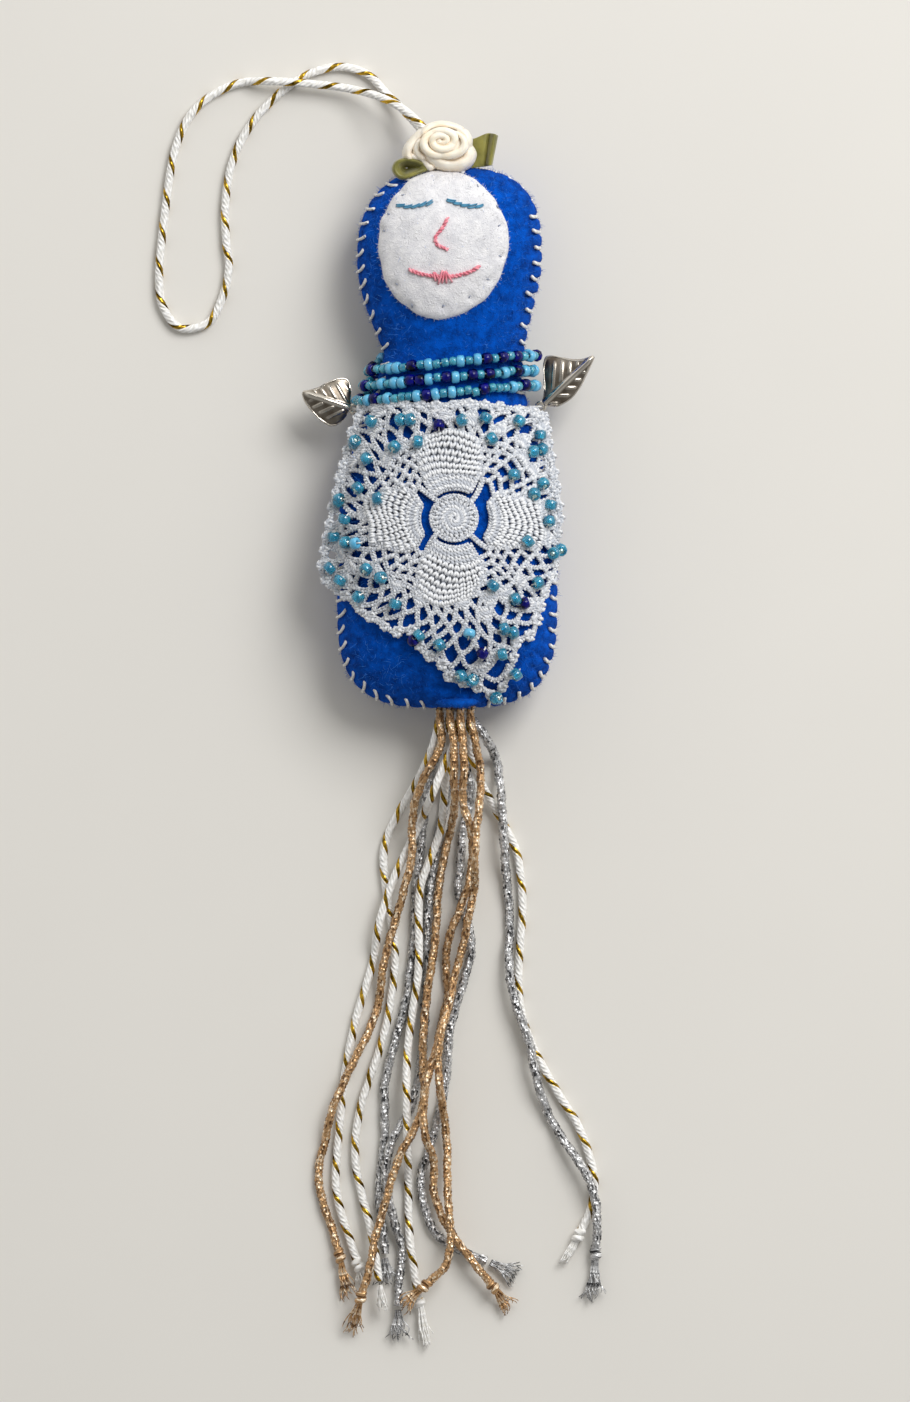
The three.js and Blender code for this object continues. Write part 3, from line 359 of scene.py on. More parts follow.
# Bead glass: bright small highlights; clear glass takes its tint from the light that passes through.
def beadGlass(name, main, deep, through, roughness, coat):
    glass = dict(batch=1.6, shine=0.5, bareShine=0.25)
    material, tree, shader, place = newMaterial(name, "object", Roughness=roughness, IOR=1.52,
                                                Transmission_Weight=through, Coat_Weight=coat,
                                                Coat_Roughness=0.03,
                                                Specular_IOR_Level=glass["shine" if coat else "bareShine"])
    batch = noise(tree, place, glass["batch"], 2.0)
    dress(tree, shader, mixed(tree, ranged(tree, batch, 0.35, 0.65), deep, main))
    return material


# Nickel silver: polished high places, brown tarnish left in the low ones; the rope's third part is relief.
def tarnished(name, bright, dark):
    metal = dict(cloud=2.5, cloudHeight=0.0003, clean=(0.0001, 0.00042), gloss=(0.34, 0.16), scratch=0.6,
                 relief=0.1, depth=0.0001)
    material, tree, shader, rope = newMaterial(name, "rope", Metallic=1.0)
    relief = addNode(tree, "ShaderNodeSeparateXYZ", Vector=rope).outputs[2]
    cloud = noise(tree, rope, metal["cloud"], 4.0)
    clean = ranged(tree, reckon(tree, "MULTIPLY_ADD", cloud, metal["cloudHeight"], relief), *metal["clean"])
    gloss = ranged(tree, clean, 0.0, 1.0, *metal["gloss"])
    scratch = noise(tree, rope, metal["scratch"], 2.0)
    dress(tree, shader, mixed(tree, clean, dark, bright), scratch, metal["relief"], metal["depth"], gloss)
    return material


blueFelt = needleFelt("blue_needle_felt", "#0055c4", "#00266a", "#4c98ee", 0.02)
# A lighter copy of the blue felt for the hem's rolled lip: painted light where the lip catches the lamp.
paintedLitLipFelt = needleFelt("blue_needle_felt_painted_lit_lip", "#0d5ecb", "#033a90", "#5aa2f0", 0.02)
whiteFelt = needleFelt("white_needle_felt", "#f0eff1", "#d2d2d8", "#ffffff", 0.1)
cottonThread = spunThread("white_cotton_thread", "#f2f1ee", "#d2d0cb", 0.75, 0.5)
rayonCord = spunThread("white_rayon_ply", "#fcfbf9", "#e8e6e1", 0.6, 0.45)
crochetCotton = spunThread("mercerised_crochet_cotton", "#eeeff1", "#c3c7cf", 0.7, 0.6)
blueFloss = spunThread("blue_stranded_cotton", "#4f9cc0", "#2f7496", 0.55, 0.7)
pinkFloss = spunThread("pink_stranded_cotton", "#f3a0ab", "#dd7a8b", 0.55, 0.7)
copperYarn = metallicYarn("copper_metallic_yarn", "#6a4a2d", "#c69d6f", "#ffeccf")
silverYarn = metallicYarn("silver_metallic_yarn", "#39393b", "#bcbcbd", "#ffffff")
goldTape = goldFoil()
creamSatin = satin("cream_satin_ribbon", "#fff5e4", "#ffecd2")
oliveSatin = satin("olive_satin_ribbon", "#8f8a42", "#63612a")
blueGlass = beadGlass("opaque_light_blue_glass", "#68bbe0", "#4ca2cd", 0.0, 0.12, 0.5)
tealGlass = beadGlass("clear_teal_glass", "#62d0e6", "#189abf", 0.5, 0.04, 0.9)
navyGlass = beadGlass("clear_cobalt_glass", "#040777", "#020318", 0.0, 0.12, 0.0)
aquaGlass = beadGlass("clear_aqua_glass", "#46c8ea", "#0f8fb8", 0.65, 0.03, 0.8)
silverLining = tarnished("silver_bead_lining", "#e6f4ee", "#bfe3dd")
nickelSilver = tarnished("tarnished_nickel_silver", "#dcd5ca", "#6e6356")
# A greyer copy of the crochet cotton for the sheet under the lace: painted shade between the rows.
shadeCottonGround = spunThread("crochet_cotton_painted_shade_ground", "#c4c8d0", "#a5abb6", 0.8, 0.6)
# Tacking thread painted grey: painted shade for the shadow in the face's dimples.
shadeTackThread = spunThread("tacking_thread_painted_shade", "#9fa6b8", "#717a92", 0.8, 0.5)
paleFibre = spunThread("pale_blue_wool_fibre", "#4a90e6", "#2b78d8", 0.9, 0.5, 0.0)
blueFibre = spunThread("blue_wool_fibre", "#1d66cc", "#0a4cae", 0.9, 0.5, 0.0)
whiteFibre = spunThread("white_wool_fibre", "#f3f3f5", "#dcdce2", 0.9, 0.5)
fillFibre = needleFelt("polyester_fibre_fill", "#f1efe7", "#dedbd0", "#ffffff", 0.1)
print("materials made")

# The body's form, repeated from the solids: half width by height, and the swell of front and back.
# Pairs are left and right; swells are head, neck and torso.
form = dict(headY=43.0, crownRise=22.0, torsoY=-38.0, hemDrop=26.8, headHalf=(21.8, 22.6),
            neckHalf=(15.4, 18.0), torsoHalf=(26.6, 26.3), neckY=(19.9, 14.0), fullY=(-26.0, -32.0),
            headEase=(0.7, 1.2), flankEase=0.7, crownRoundness=(2.4, 2.9), hemRoundness=3.3, throatY=17.0,
            bellyY=-26.0, seamZ=11.0, front=(14.0, 11.5, 15.5), back=(11.5, 6.9, 11.5), roundness=2.2,
            power=0.55)
seamZ = form["seamZ"]
hemY = form["torsoY"] - form["hemDrop"]
crownY = form["headY"] + form["crownRise"]


def bySide(pair, x):
    return np.where(np.asarray(x) < 0, pair[0], pair[1])


def halfWidth(x, y):
    neckY, neck = bySide(form["neckY"], x), bySide(form["neckHalf"], x)
    toHead = np.clip((y - neckY) / (form["headY"] - neckY), 0, 1) ** bySide(form["headEase"], x)
    toTorso = np.clip((neckY - y) / (neckY - bySide(form["fullY"], x)), 0, 1) ** form["flankEase"]
    return (neck + (bySide(form["headHalf"], x) - neck) * smooth(toHead)
            + (bySide(form["torsoHalf"], x) - neck) * smooth(toTorso))


def swellAt(side, y):
    head, neck, torso = form[side]
    toHead = np.clip((y - form["throatY"]) / (form["headY"] - form["throatY"]), 0, 1)
    toTorso = np.clip((form["throatY"] - y) / (form["throatY"] - form["bellyY"]), 0, 1) ** form["flankEase"]
    return neck + (head - neck) * smooth(toHead) + (torso - neck) * smooth(toTorso)


def swellCurve(share):
    return np.clip(1 - share ** form["roundness"], 0, 1) ** form["power"]


def seamShare(x, y):
    # 0 on the spine and 1 on the seam; a rounded square in the crown and the hem.
    across = np.abs(x) / halfWidth(x, np.clip(y, form["torsoY"], form["headY"]))
    n = np.where(y > form["headY"], bySide(form["crownRoundness"], x), form["hemRoundness"])
    rise = np.where(y > form["headY"], (y - form["headY"]) / form["crownRise"],
                    (form["torsoY"] - y) / form["hemDrop"])
    return (across ** n + np.clip(rise, 0, None) ** n) ** (1 / n)


def onFront(flat, lift, edge=0.95, fall=9.0, step=0.2):
    # Points off the front by a lift, and the way out there. Past the edge share the height stays at the
    # edge's and then drops, as cloth does that hangs over a flank.
    def height(px, py):
        share = seamShare(px, py)
        capped = np.minimum(share, edge)
        return seamZ + swellAt("front", py) * swellCurve(capped) - fall * np.clip(share - edge, 0, None)

    x, y = flat[..., 0], flat[..., 1]
    slopeX = (height(x + step, y) - height(x - step, y)) / (2 * step)
    slopeY = (height(x, y + step) - height(x, y - step)) / (2 * step)
    out = unit(joined(-slopeX, -slopeY, 1.0))
    return withHeight(flat, height(x, y)) + np.asarray(lift)[..., None] * out, out


# Camera, straight above, with its frame fitted to the photograph's 910 by 1402.
cameraAt = dict(x=1.7, y=-63.1, above=5000.0, plane=8.0, frameHeight=336.5, sensor=24.0)
lens = bpy.data.cameras.new("camera")
lens.sensor_fit = "VERTICAL"
lens.sensor_height = cameraAt["sensor"]
lens.lens = cameraAt["sensor"] * cameraAt["above"] / cameraAt["frameHeight"]
camera = bpy.data.objects.new("camera", lens)
camera.location = (cameraAt["x"] / 1000, (cameraAt["y"] + shoulderY) / 1000,
                   (cameraAt["plane"] + cameraAt["above"]) / 1000)
bpy.context.scene.collection.objects.link(camera)
bpy.context.scene.camera = camera
bpy.context.scene.view_settings.view_transform = "Standard"

# Floor, key light from the upper right, and a pale surround, brighter beyond the head than below.
stage = dict(floor="#e3e0da", mottle="#dfdcd6", mottleSize=60, reach=1.5, key=15.5, keySize=0.75,
             keyAt=(0.62, 0.75, 1.05), sky="#f4f3f0", surround=0.84, zenith=0.35, zenithFrom=(0.6, 0.95),
             behind=0.4, ahead=1.3, aheadWay=(0.15, 0.99, 0.0), aheadFrom=(-0.8, 0.8))
floorPaint, tree, shader, place = newMaterial("matt_white_board", "object", Roughness=0.9)
mottle = noise(tree, place, stage["mottleSize"], 3.0)
dress(tree, shader, mixed(tree, mottle, stage["mottle"], stage["floor"]))
floorMesh = bpy.data.meshes.new("floor")
reach = stage["reach"]
floorCorners = [(-reach, -reach, 0), (reach, -reach, 0), (reach, reach, 0), (-reach, reach, 0)]
floorMesh.from_pydata(floorCorners, [], [(0, 1, 2, 3)])
floorMesh.materials.append(floorPaint)
floor = bpy.data.objects.new("floor", floorMesh)
bpy.context.scene.collection.objects.link(floor)
keyLamp = bpy.data.lights.new("key", "AREA")
keyLamp.energy = stage["key"]
keyLamp.size = stage["keySize"]
key = bpy.data.objects.new("key", keyLamp)
key.location = stage["keyAt"]
key.rotation_euler = (-Vector(stage["keyAt"])).to_track_quat("-Z", "Y").to_euler()
bpy.context.scene.collection.objects.link(key)
world = bpy.data.worlds.new("surround")
world.use_nodes = True
tree = world.node_tree                   # dimmer straight above, where someone leans over to look
gaze = addNode(tree, "ShaderNodeTexCoord").outputs["Generated"]
upward = addNode(tree, "ShaderNodeSeparateXYZ", Vector=gaze).outputs[2]
dim = ranged(tree, upward, *stage["zenithFrom"], stage["surround"], stage["surround"] * stage["zenith"])
facing = addNode(tree, "ShaderNodeVectorMath", {"operation": "DOT_PRODUCT"}, i0=gaze, i1=stage["aheadWay"])
tilt = ranged(tree, facing.outputs["Value"], *stage["aheadFrom"], stage["behind"], stage["ahead"])
tree.links.new(reckon(tree, "MULTIPLY", dim, tilt), tree.nodes["Background"].inputs[1])
tree.nodes["Background"].inputs[0].default_value = colour(stage["sky"])
bpy.context.scene.world = world
print("camera and stage set")

# Cords. Each lies on the table along its route and passes over the cords laid before it in low humps.
cord = dict(diameter=dict(white=2.0, copper=1.9, silver=2.1), step=7.0, gap=0.35, tableGap=0.2, hump=7.0,
            knotRadius=1.45, knotLength=3.6, whipping=1.15, tuftRadius=1.3, passes=3, share=8, skip=3,
            fine=12, perSpan=60, lineStep=2.0, tuftSeat=0.5)
tasselAt = dict(x=1.7, pitch=2.45, out=1.2, fall=15.0, hidden=3.0)      # hidden: goes on into the binding
sewnGap = 0.35
tassel = [
    # name, slot across and up in the mouth of the hem, knotted, length of the tuft, route
    ("silver_cord_1", (0, 0), False, 5.0, [
        (-1.9, -71.3), (-3.9, -79.4), (-5.2, -86.4), (-6.2, -94.1), (-6.8, -100.8), (-7.7, -109.7),
        (-8.3, -122.6), (-9, -127), (-10, -135.1), (-12.3, -143.3), (-13.6, -148.3), (-15, -153.8),
        (-15.3, -158.4), (-15.1, -166.8), (-16, -175.2), (-16.5, -183.1), (-15.5, -190.8), (-15.2, -196)]),
    ("silver_cord_2", (1, 0), False, 6.0, [
        (0.2, -72.5), (-0.2, -81.1), (-0.8, -88.3), (-2.3, -95.3), (-3.4, -102.7), (-4.3, -109.6),
        (-4.9, -116.9), (-4.9, -125.5), (-5.3, -132.8), (-5.7, -141.6), (-6.6, -151), (-8.6, -160.1),
        (-10.3, -163.4), (-14, -170.2), (-15, -177.6), (-13.7, -184.8), (-11.9, -192), (-10.6, -198),
        (-12.3, -204), (-12, -208.5)]),
    ("silver_cord_3", (2, 0), False, 6.0, [
        (3.8, -72.5), (5.5, -82.1), (5, -88.9), (3.7, -92.3), (3.5, -98.9), (2.4, -106.1), (3.4, -112.1),
        (5.6, -119.8), (5.4, -124.1), (3.5, -131.4), (2.3, -135.1), (0.5, -141.6), (-0.2, -151),
        (-1.5, -159.8), (-3.9, -169.2), (-6.5, -177.4), (-6, -182.9), (-3.8, -189.5), (0, -194.2),
        (6, -195.8), (9.4, -197.6)]),
    ("white_cord_4", (3, 0), True, 5.5, [
        (5.2, -72), (5.8, -77.5), (8.6, -83.8), (13, -92), (15.4, -95.9), (16.7, -100.8), (17.9, -109.7),
        (17.4, -121.7), (16.9, -131.3), (18.6, -141.7), (21, -147.4), (26.2, -157), (30.5, -163.6),
        (32.9, -169.2), (34.7, -175), (35.2, -178.6), (34.7, -182.5), (33.8, -187.2), (31.4, -191.5)]),
    ("white_cord_1", (0, 1), False, 5.0, [
        (-2.4, -69.5), (-4.1, -75.4), (-8.4, -84.2), (-12.5, -91), (-15.4, -98.9), (-15.1, -106.1),
        (-14.5, -110.2), (-13.9, -115), (-13, -119.8), (-12.7, -123.6), (-13.3, -132), (-15, -141.6),
        (-17.8, -151), (-20.4, -158.2), (-22.4, -170.9), (-21.4, -178.6), (-18.6, -189.8),
        (-17.2, -197.5), (-16.6, -202.5)]),
    ("white_cord_3", (1, 1), True, 9.0, [
        (0.3, -72.2), (-0.5, -80.9), (-1, -86.9), (-1.7, -93.8), (-4.6, -101.8), (-6.1, -105.6),
        (-7, -110.4), (-7, -117.4), (-7, -127), (-7.9, -133.8), (-9.1, -141.6), (-9.9, -151),
        (-9.9, -159.8), (-9.6, -175.7), (-9.5, -183.8), (-9.1, -193), (-8.2, -199.3), (-7, -207.1)]),
    ("white_cord_2", (2, 1), True, 3.0, [
        (1.4, -73.2), (-1.8, -80.6), (-4.7, -87.8), (-8.3, -95.8), (-11.9, -103.2), (-14.6, -110.2),
        (-16.6, -116.9), (-17.3, -121.2), (-18.2, -127), (-21.1, -135.8), (-23.5, -145.9), (-25.1, -155),
        (-25.7, -161.8), (-26.6, -171.2), (-26.9, -180.2), (-25.1, -188.1), (-22.6, -195.1),
        (-21.6, -198.6)]),
    ("silver_cord_4", (3, 1), True, 9.0, [
        (7.4, -70), (10.8, -74.6), (12.1, -79.9), (12.9, -87.8), (13.6, -98.9), (14.3, -108.5),
        (14.9, -116.1), (14.6, -123.6), (14.9, -129.4), (16.7, -137), (19.1, -143.5), (20.5, -150.2),
        (22.8, -158.9), (25.7, -165.4), (29.5, -171.1), (32.8, -175.9), (34.7, -179.8), (35.7, -186.2),
        (35.8, -192.5), (35.5, -195.8)]),
    ("copper_cord_1", (0, 2), True, 8.5, [
        (-1.8, -74.2), (-5.8, -81.6), (-8.3, -88.9), (-8.6, -92.9), (-8.5, -99.4), (-10.3, -107.3),
        (-12.2, -114.5), (-14.2, -121.2), (-15.7, -127.9), (-16.7, -135.8), (-20, -144.7), (-23.8, -151.7),
        (-26.8, -159.4), (-28.8, -163.9), (-29.8, -171.2), (-31.3, -177.6), (-29.4, -185.5),
        (-26.6, -193.4), (-26, -196.4)]),
    ("copper_cord_2", (1, 2), True, 7.0, [
        (1.4, -73.2), (1.4, -83.8), (1.6, -88.9), (0, -96.7), (-2, -106.1), (-2.7, -115.4),
        (-3.5, -124.3), (-4.7, -131.3), (-5.8, -141.6), (-6.1, -148.3), (-5.8, -158.9), (-8.2, -166.2),
        (-12.2, -173.5), (-14.8, -183.1), (-17.2, -190.8), (-18.9, -199.7), (-20.9, -206.2)]),
    ("copper_cord_3", (2, 2), True, 5.0, [
        (3.6, -73.2), (3.9, -81.1), (3.7, -88.9), (5, -91.4), (5.8, -99.4), (5.8, -105.1), (4.4, -108.1),
        (2.4, -114.5), (0.6, -118.6), (-0.5, -125.5), (-0.2, -129.8), (0, -134.4), (-1.8, -141.6),
        (-3.2, -148.3), (-4.9, -153.8), (-5.9, -165.1), (-3.2, -174.7), (-3.5, -180.2), (-0.7, -188.4),
        (5.3, -196.8), (10.8, -203.8)]),
    ("copper_cord_4", (3, 2), True, 6.0, [
        (6, -70.7), (7.8, -79.8), (7.8, -85), (6.8, -94.1), (6.4, -99.4), (6.4, -107.5), (4.7, -116.2),
        (3.8, -121.2), (1.8, -128.4), (0.3, -135.8), (-1.8, -143.3), (-2.4, -150), (-1.8, -156.7),
        (-0.3, -168.5), (-0.1, -180.2), (0.4, -189.1), (0.7, -195.8), (-2.1, -200.6), (-5.6, -203.6)]),
]
loop = dict(x=-3.5, pitch=2.5, fall=26.0, hidden=2.0, route=[
    (-4.4, 70.2), (-7, 74.6), (-11.1, 79.2), (-15.2, 83.3), (-18.1, 86.7), (-21.6, 88.5), (-25.7, 89.3),
    (-29.8, 88.8), (-33.2, 87.6), (-36.1, 85.6), (-39.6, 83.8), (-43.1, 80.4), (-46.1, 77.5), (-49, 72.7),
    (-51.2, 68.2), (-52.7, 62.9), (-53.6, 53.5), (-53, 43.7), (-52.7, 39.6), (-53.9, 35), (-55.3, 31),
    (-58.2, 27.4), (-62.3, 26.2), (-66.4, 27.7), (-68.4, 31.4), (-69.3, 36.1), (-69.3, 42), (-68.1, 53.5),
    (-66.4, 65.8), (-64.9, 71.5), (-62.9, 76.3), (-59.4, 80.4), (-55.3, 83.3), (-50.6, 85.3), (-44.9, 85.8),
    (-39, 85.6), (-28.6, 84.7), (-19.2, 82.9), (-12.2, 79.8), (-6, 74.6), (-4, 70.2)])


def chordsOf(points, places, radiusAt):
    # Points along each straight stretch between laid points, with the cord's radius there.
    t = np.linspace(0, 1, cord["share"] + 1)[None, :, None]
    chords = points[:-1, None] * (1 - t) + points[1:, None] * t
    run = places[:-1, None] * (1 - t[..., 0]) + places[1:, None] * t[..., 0]
    return chords, radiusAt(run)


def layCord(route, radiusAt, ends, falls, tail, laid):
    # Height = the table and half the cord, an eased fall from each raised end, or what it needs to clear
    # a cord that it crosses: that one's height + root((r1 + r2 + gap)^2 - distance^2), eased both ways.
    # Laid holds the points and radii of the cords before it; its own stretches count a few back.
    def ease(t):
        return smooth(1 - np.clip(t, 0, 1))

    flat = curveThrough(np.array(route, float), cord["perSpan"])
    length = lengthAlong(flat)[-1]
    places = np.linspace(0, length - tail, int(round((length - tail) / cord["step"])) + 1)
    if tail:
        places = np.append(places, length)

    def radii(s):
        return radiusAt(s, length)

    floorZ = radii(places) + cord["tableGap"]
    down = (ends[0] - floorZ) * ease(places / falls[0])
    rise = (ends[1] - floorZ) * ease((length - tail - places) / falls[1])
    points = np.column_stack([pointsAt(flat, places), floorZ + np.maximum(np.maximum(down, rise), 0)])
    spread = ease(np.abs(places[:, None] - places[None]) / cord["hump"])
    for _ in range(cord["passes"]):
        chords, own = chordsOf(points, places, radii)
        spans = np.arange(len(chords))
        near = np.concatenate([laid[0], chords.reshape(-1, 3)])
        nearRadius = np.concatenate([laid[1], own.ravel()])
        before = np.full(len(laid[0]), -cord["skip"] - 1)
        order = np.concatenate([before, np.repeat(spans, cord["share"] + 1)])
        away = np.linalg.norm(chords[:, :, None, :2] - near[None, None, :, :2], axis=-1)
        apart = own[:, :, None] + nearRadius + cord["gap"]
        over = near[:, 2] + np.sqrt(np.clip(apart ** 2 - away ** 2, 0, None))
        counts = (away < apart) & (order < spans[:, None, None] - cord["skip"])
        clear = np.where(counts, over, 0).max((1, 2))
        need = points[:, 2].copy()
        need[:-1] = np.maximum(need[:-1], clear)
        need[1:] = np.maximum(need[1:], clear)
        humps = floorZ[:, None] + (need[None] - floorZ[:, None]) * spread
        points[:, 2] = np.maximum(points[:, 2], humps.max(1))
    chords, own = chordsOf(points, places, radii)
    laid[0] = np.concatenate([laid[0], chords[:, :-1].reshape(-1, 3)])
    laid[1] = np.concatenate([laid[1], own[:, :-1].ravel()])
    return points


def nothingLaid():
    return [np.zeros((0, 3)), np.zeros(0)]


# White cord: five rayon plies and a gold tape laid left-handed, so a lobed section that turns along it.
# A ply's radius falls by the groove towards its two sides; the tape stands a little proud.
twisted = dict(plies=6, perPly=4, tapeSides=5, pitch=8.2, step=0.5, groove=0.2, lobe=2.5, tapeRise=0.03)


def twistedCord(path, radius):
    sides = twisted["plies"] * twisted["perPly"]
    path = evenly(path, twisted["step"])
    share = (np.arange(sides) / twisted["perPly"]) % 1
    section = radius * (1 - twisted["groove"] * (2 * np.abs(share - 0.5)) ** twisted["lobe"])
    tape = np.arange(sides) < twisted["tapeSides"]
    section = np.where(tape & (share > 0), radius * (1 + twisted["tapeRise"]), section)
    part = tube(path, np.broadcast_to(section, (1, len(path), sides)), sides,
                turn=-tau * lengthAlong(path) / twisted["pitch"])
    part["slot"] = [np.tile(tape, len(path) - 1), 0]
    return part


# Metallic cord: filaments knitted into a tube; two sets of slanting ridges that cross, and slow lumps.
knitted = dict(ridges=3, pitch=1.9, step=0.3, depth=0.2, level=0.4, sides=18, lumps=0.07,
               lumpTurns=(1.7, 0.9))


def knittedCord(path, radius):
    path = evenly(path, knitted["step"])
    along = lengthAlong(path)[:, None]
    angle = ringOf(knitted["sides"])[None]
    wind = tau * along / knitted["pitch"]
    weave = np.cos(knitted["ridges"] * angle + wind) * np.cos(knitted["ridges"] * angle - wind)
    quick, slow = knitted["lumpTurns"]
    lumpy = knitted["lumps"] * (np.sin(along * quick + 2 * angle) + np.sin(along * slow - angle))
    section = radius * (1 + knitted["depth"] * (weave - knitted["level"]) + lumpy)
    return tube(path, section[None], knitted["sides"])


def crossways(heading):
    across = unit(np.cross((0, 0, 1), heading))
    return across, np.cross(heading, across)


# A knot: about a turn and a half of the cord round itself, its coil narrower at both ends.
knot = dict(turns=1.6, points=44, long=0.75, coil=0.75, waist=0.55, swell=0.45, cord=0.82, sides=10)


def knotTurns(tip, heading):
    t = np.linspace(0, 1, knot["points"])[:, None]
    across, upward = crossways(heading)
    swing = tau * knot["turns"] * t
    ring = knot["coil"] * (knot["waist"] + knot["swell"] * np.sin(np.pi * t))
    along = heading * (t - 0.5) * cord["knotLength"] * knot["long"]
    return tip + along + ring * (np.cos(swing) * across + np.sin(swing) * upward)


# Frayed ends: filaments that leave the cord's end side by side, spread, and curl at their tips.
fray = dict(white=dict(count=16, radius=0.2, spread=1.1, curl=0.5),
            copper=dict(count=22, radius=0.17, spread=1.9, curl=1.1),
            silver=dict(count=26, radius=0.17, spread=2.1, curl=1.5),
            reach=(0.72, 1.12), seat=0.75, fan=1.6, flat=0.55, curlRise=0.4, tableGap=0.05, taper=0.45,
            sides=5, points=12, fanShare=(0.2, 1), curlTurns=(0.4, 1.2))


def frayedEnd(tip, end, radius, kind):
    f = fray[kind]
    each = (f["count"], 1)
    heading = unit(end - tip)
    across, upward = crossways(heading)
    reach = np.linalg.norm(end - tip) * rng.uniform(*fray["reach"], each)
    angle = rng.uniform(0, tau, each)
    seat = radius * fray["seat"] * np.sqrt(rng.uniform(0, 1, each))
    t = np.linspace(0, 1, fray["points"])[None]
    fan = seat + f["spread"] * rng.uniform(*fray["fanShare"], each) * t ** fray["fan"]
    curl = f["curl"] * t ** 2 * np.sin(tau * (t * rng.uniform(*fray["curlTurns"], each) + angle))
    side = fan * np.cos(angle) + curl
    lift = fan * np.sin(angle) * fray["flat"] + fray["curlRise"] * curl
    paths = tip + (reach * t)[..., None] * heading + side[..., None] * across + lift[..., None] * upward
    paths[..., 2] = np.maximum(paths[..., 2], f["radius"] + fray["tableGap"])
    return tube(paths, f["radius"] * (1 - fray["taper"] * t[0] ** 3), fray["sides"])


def declareCord(piece, start, path, radius, farEnd, **more):
    line = [tuple(p) for p in inFrame(evenly(path, cord["lineStep"]))]
    tuple(inFrame(start))


laid = nothingLaid()
skinsOf = dict(white=[rayonCord, goldTape], copper=[copperYarn], silver=[silverYarn])
for name, (column, row), knotted, tuft, route in tassel:
    kind = name.split("_")[0]
    cordSlot, skins = kind + "_cord", skinsOf[kind]
    radius = cord["diameter"][kind] / 2
    half = cord["knotLength"] / 2
    tail = half + tuft
    wide = cord["knotRadius"] if knotted else radius * cord["whipping"]
    startX = tasselAt["x"] + (column - 1.5) * tasselAt["pitch"]
    startY = hemY - tasselAt["out"] - sewnGap
    startZ = seamZ + (row - 1) * tasselAt["pitch"]
    last = np.array(route[-1], float)
    end = last + unit(last - np.array(route[-2], float)) * tail
    run = [(startX, startY), (startX, startY - tasselAt["pitch"]), *route, tuple(end)]

    def radiusAt(s, length):
        beforeTuft = np.where(s > length - tail - half, wide, radius)
        return np.where(s > length - tail + half, cord["tuftRadius"], beforeTuft)

    falls = (tasselAt["fall"], 2 * cord["knotLength"])
    points = layCord(run, radiusAt, (startZ, cord["tuftRadius"]), falls, tail, laid)
    tip, end = points[-2], points[-1]
    into = points[0] + (0, tasselAt["hidden"], 0)
    path = curveThrough(np.concatenate([[into], points[:-1]]), cord["fine"])
    heading = unit(end - tip)
    runPart = twistedCord(path, radius) if kind == "white" else knittedCord(path, radius)
    piece = putPiece(name + "_run", cordSlot, [runPart], skins, [name], "tassel")
    extras = []
    if knotted:
        coil = tube(knotTurns(tip, heading), radius * knot["cord"], knot["sides"], heading)
        extras.append(putPiece(name + "_knot", cordSlot, [coil], skins[:1], body="tassel"))
    tuftPart = frayedEnd(tip + heading * half * cord["tuftSeat"], end, radius, kind)
    extras.append(putPiece(name + "_fray", cordSlot, [tuftPart], skins[:1], body="tassel"))
    declareCord(piece, points[0], path, radius, "knot" if knotted else "bare", with_pieces=extras)
print("tassel cords laid")

loopRadius = cord["diameter"]["white"] / 2
loopStart = (loop["x"], crownY + 2 * sewnGap)
loopHeights = (seamZ - loop["pitch"] / 2, seamZ + loop["pitch"] / 2)


def loopRadiusAt(s, length):
    return np.full(np.shape(s), loopRadius)


points = layCord([loopStart, *loop["route"], loopStart], loopRadiusAt, loopHeights,
                 (loop["fall"], loop["fall"]), 0, nothingLaid())
sewnIn = np.array((0, -loop["hidden"], 0))
path = curveThrough(np.concatenate([[points[0] + sewnIn], points, [points[-1] + sewnIn]]), cord["fine"])
hangingLoop = putPiece("hanging_cord_loop", "white_cord", [twistedCord(path, loopRadius)], skinsOf["white"],
                       ["hanging_loop"], "loop")
declareCord(hangingLoop, points[0], path, loopRadius, "object")
print("hanging loop laid")

# Felt panels: two shells that meet at the seam, notched and pulled in at every stitch, lumpy with
# stuffing, and parted at the hem like lips round the tassel.
felt = dict(cap=90, flank=260, across=26, inner=7, innerEdge=0.99, thickness=1.5, stitch=3.9,
            notch=(0.4, 0.75), headNotch=0.8, headNotchY=38, headNotchReach=9, crownFrom=(4, 54),
            crownNotch=0.2, edge=(0.82, 0.18), pull=0.35, pullFrom=(0.8, 0.1), pullEnd=0.04, lump=0.4,
            seamGap=0.15, crease=1.3, creaseUp=5.2, creaseSide=1.4, lipWidth=7.6, lipRise=4.2, lipReach=9.0,
            lipShare=dict(front=1, back=0.6), notchShare=(0.55, 1.15))
lumpWaves = np.array([(0.21, 0.13, 0.4), (-0.17, 0.24, 1.9), (0.33, -0.08, 3.1), (0.07, 0.37, 5.0),
                      (-0.41, -0.29, 2.2)])     # sine waves: turns across, turns up, and phase
wayOf = dict(front=1, back=-1)


def seamLine():
    # From the crown down the right side and up the left: x, y, and the spine's y that each point faces.
    turn = np.linspace(0, np.pi / 2, felt["cap"])
    flankY = np.linspace(form["headY"], form["torsoY"], felt["flank"])[1:-1]

    def half(sign):
        def cap(y, rise, n, t):
            wide = sign * halfWidth(sign, y)
            return joined(wide * np.sin(t) ** (2 / n), y + rise * np.abs(np.cos(t)) ** (2 / n), y)

        crown = cap(form["headY"], form["crownRise"], bySide(form["crownRoundness"], sign), turn)
        flank = joined(sign * halfWidth(sign, flankY), flankY, flankY)
        hem = cap(form["torsoY"], -form["hemDrop"], form["hemRoundness"], turn[::-1])
        return np.concatenate([crown, flank, hem])
    return np.concatenate([half(1)[:-1], half(-1)[:0:-1]])


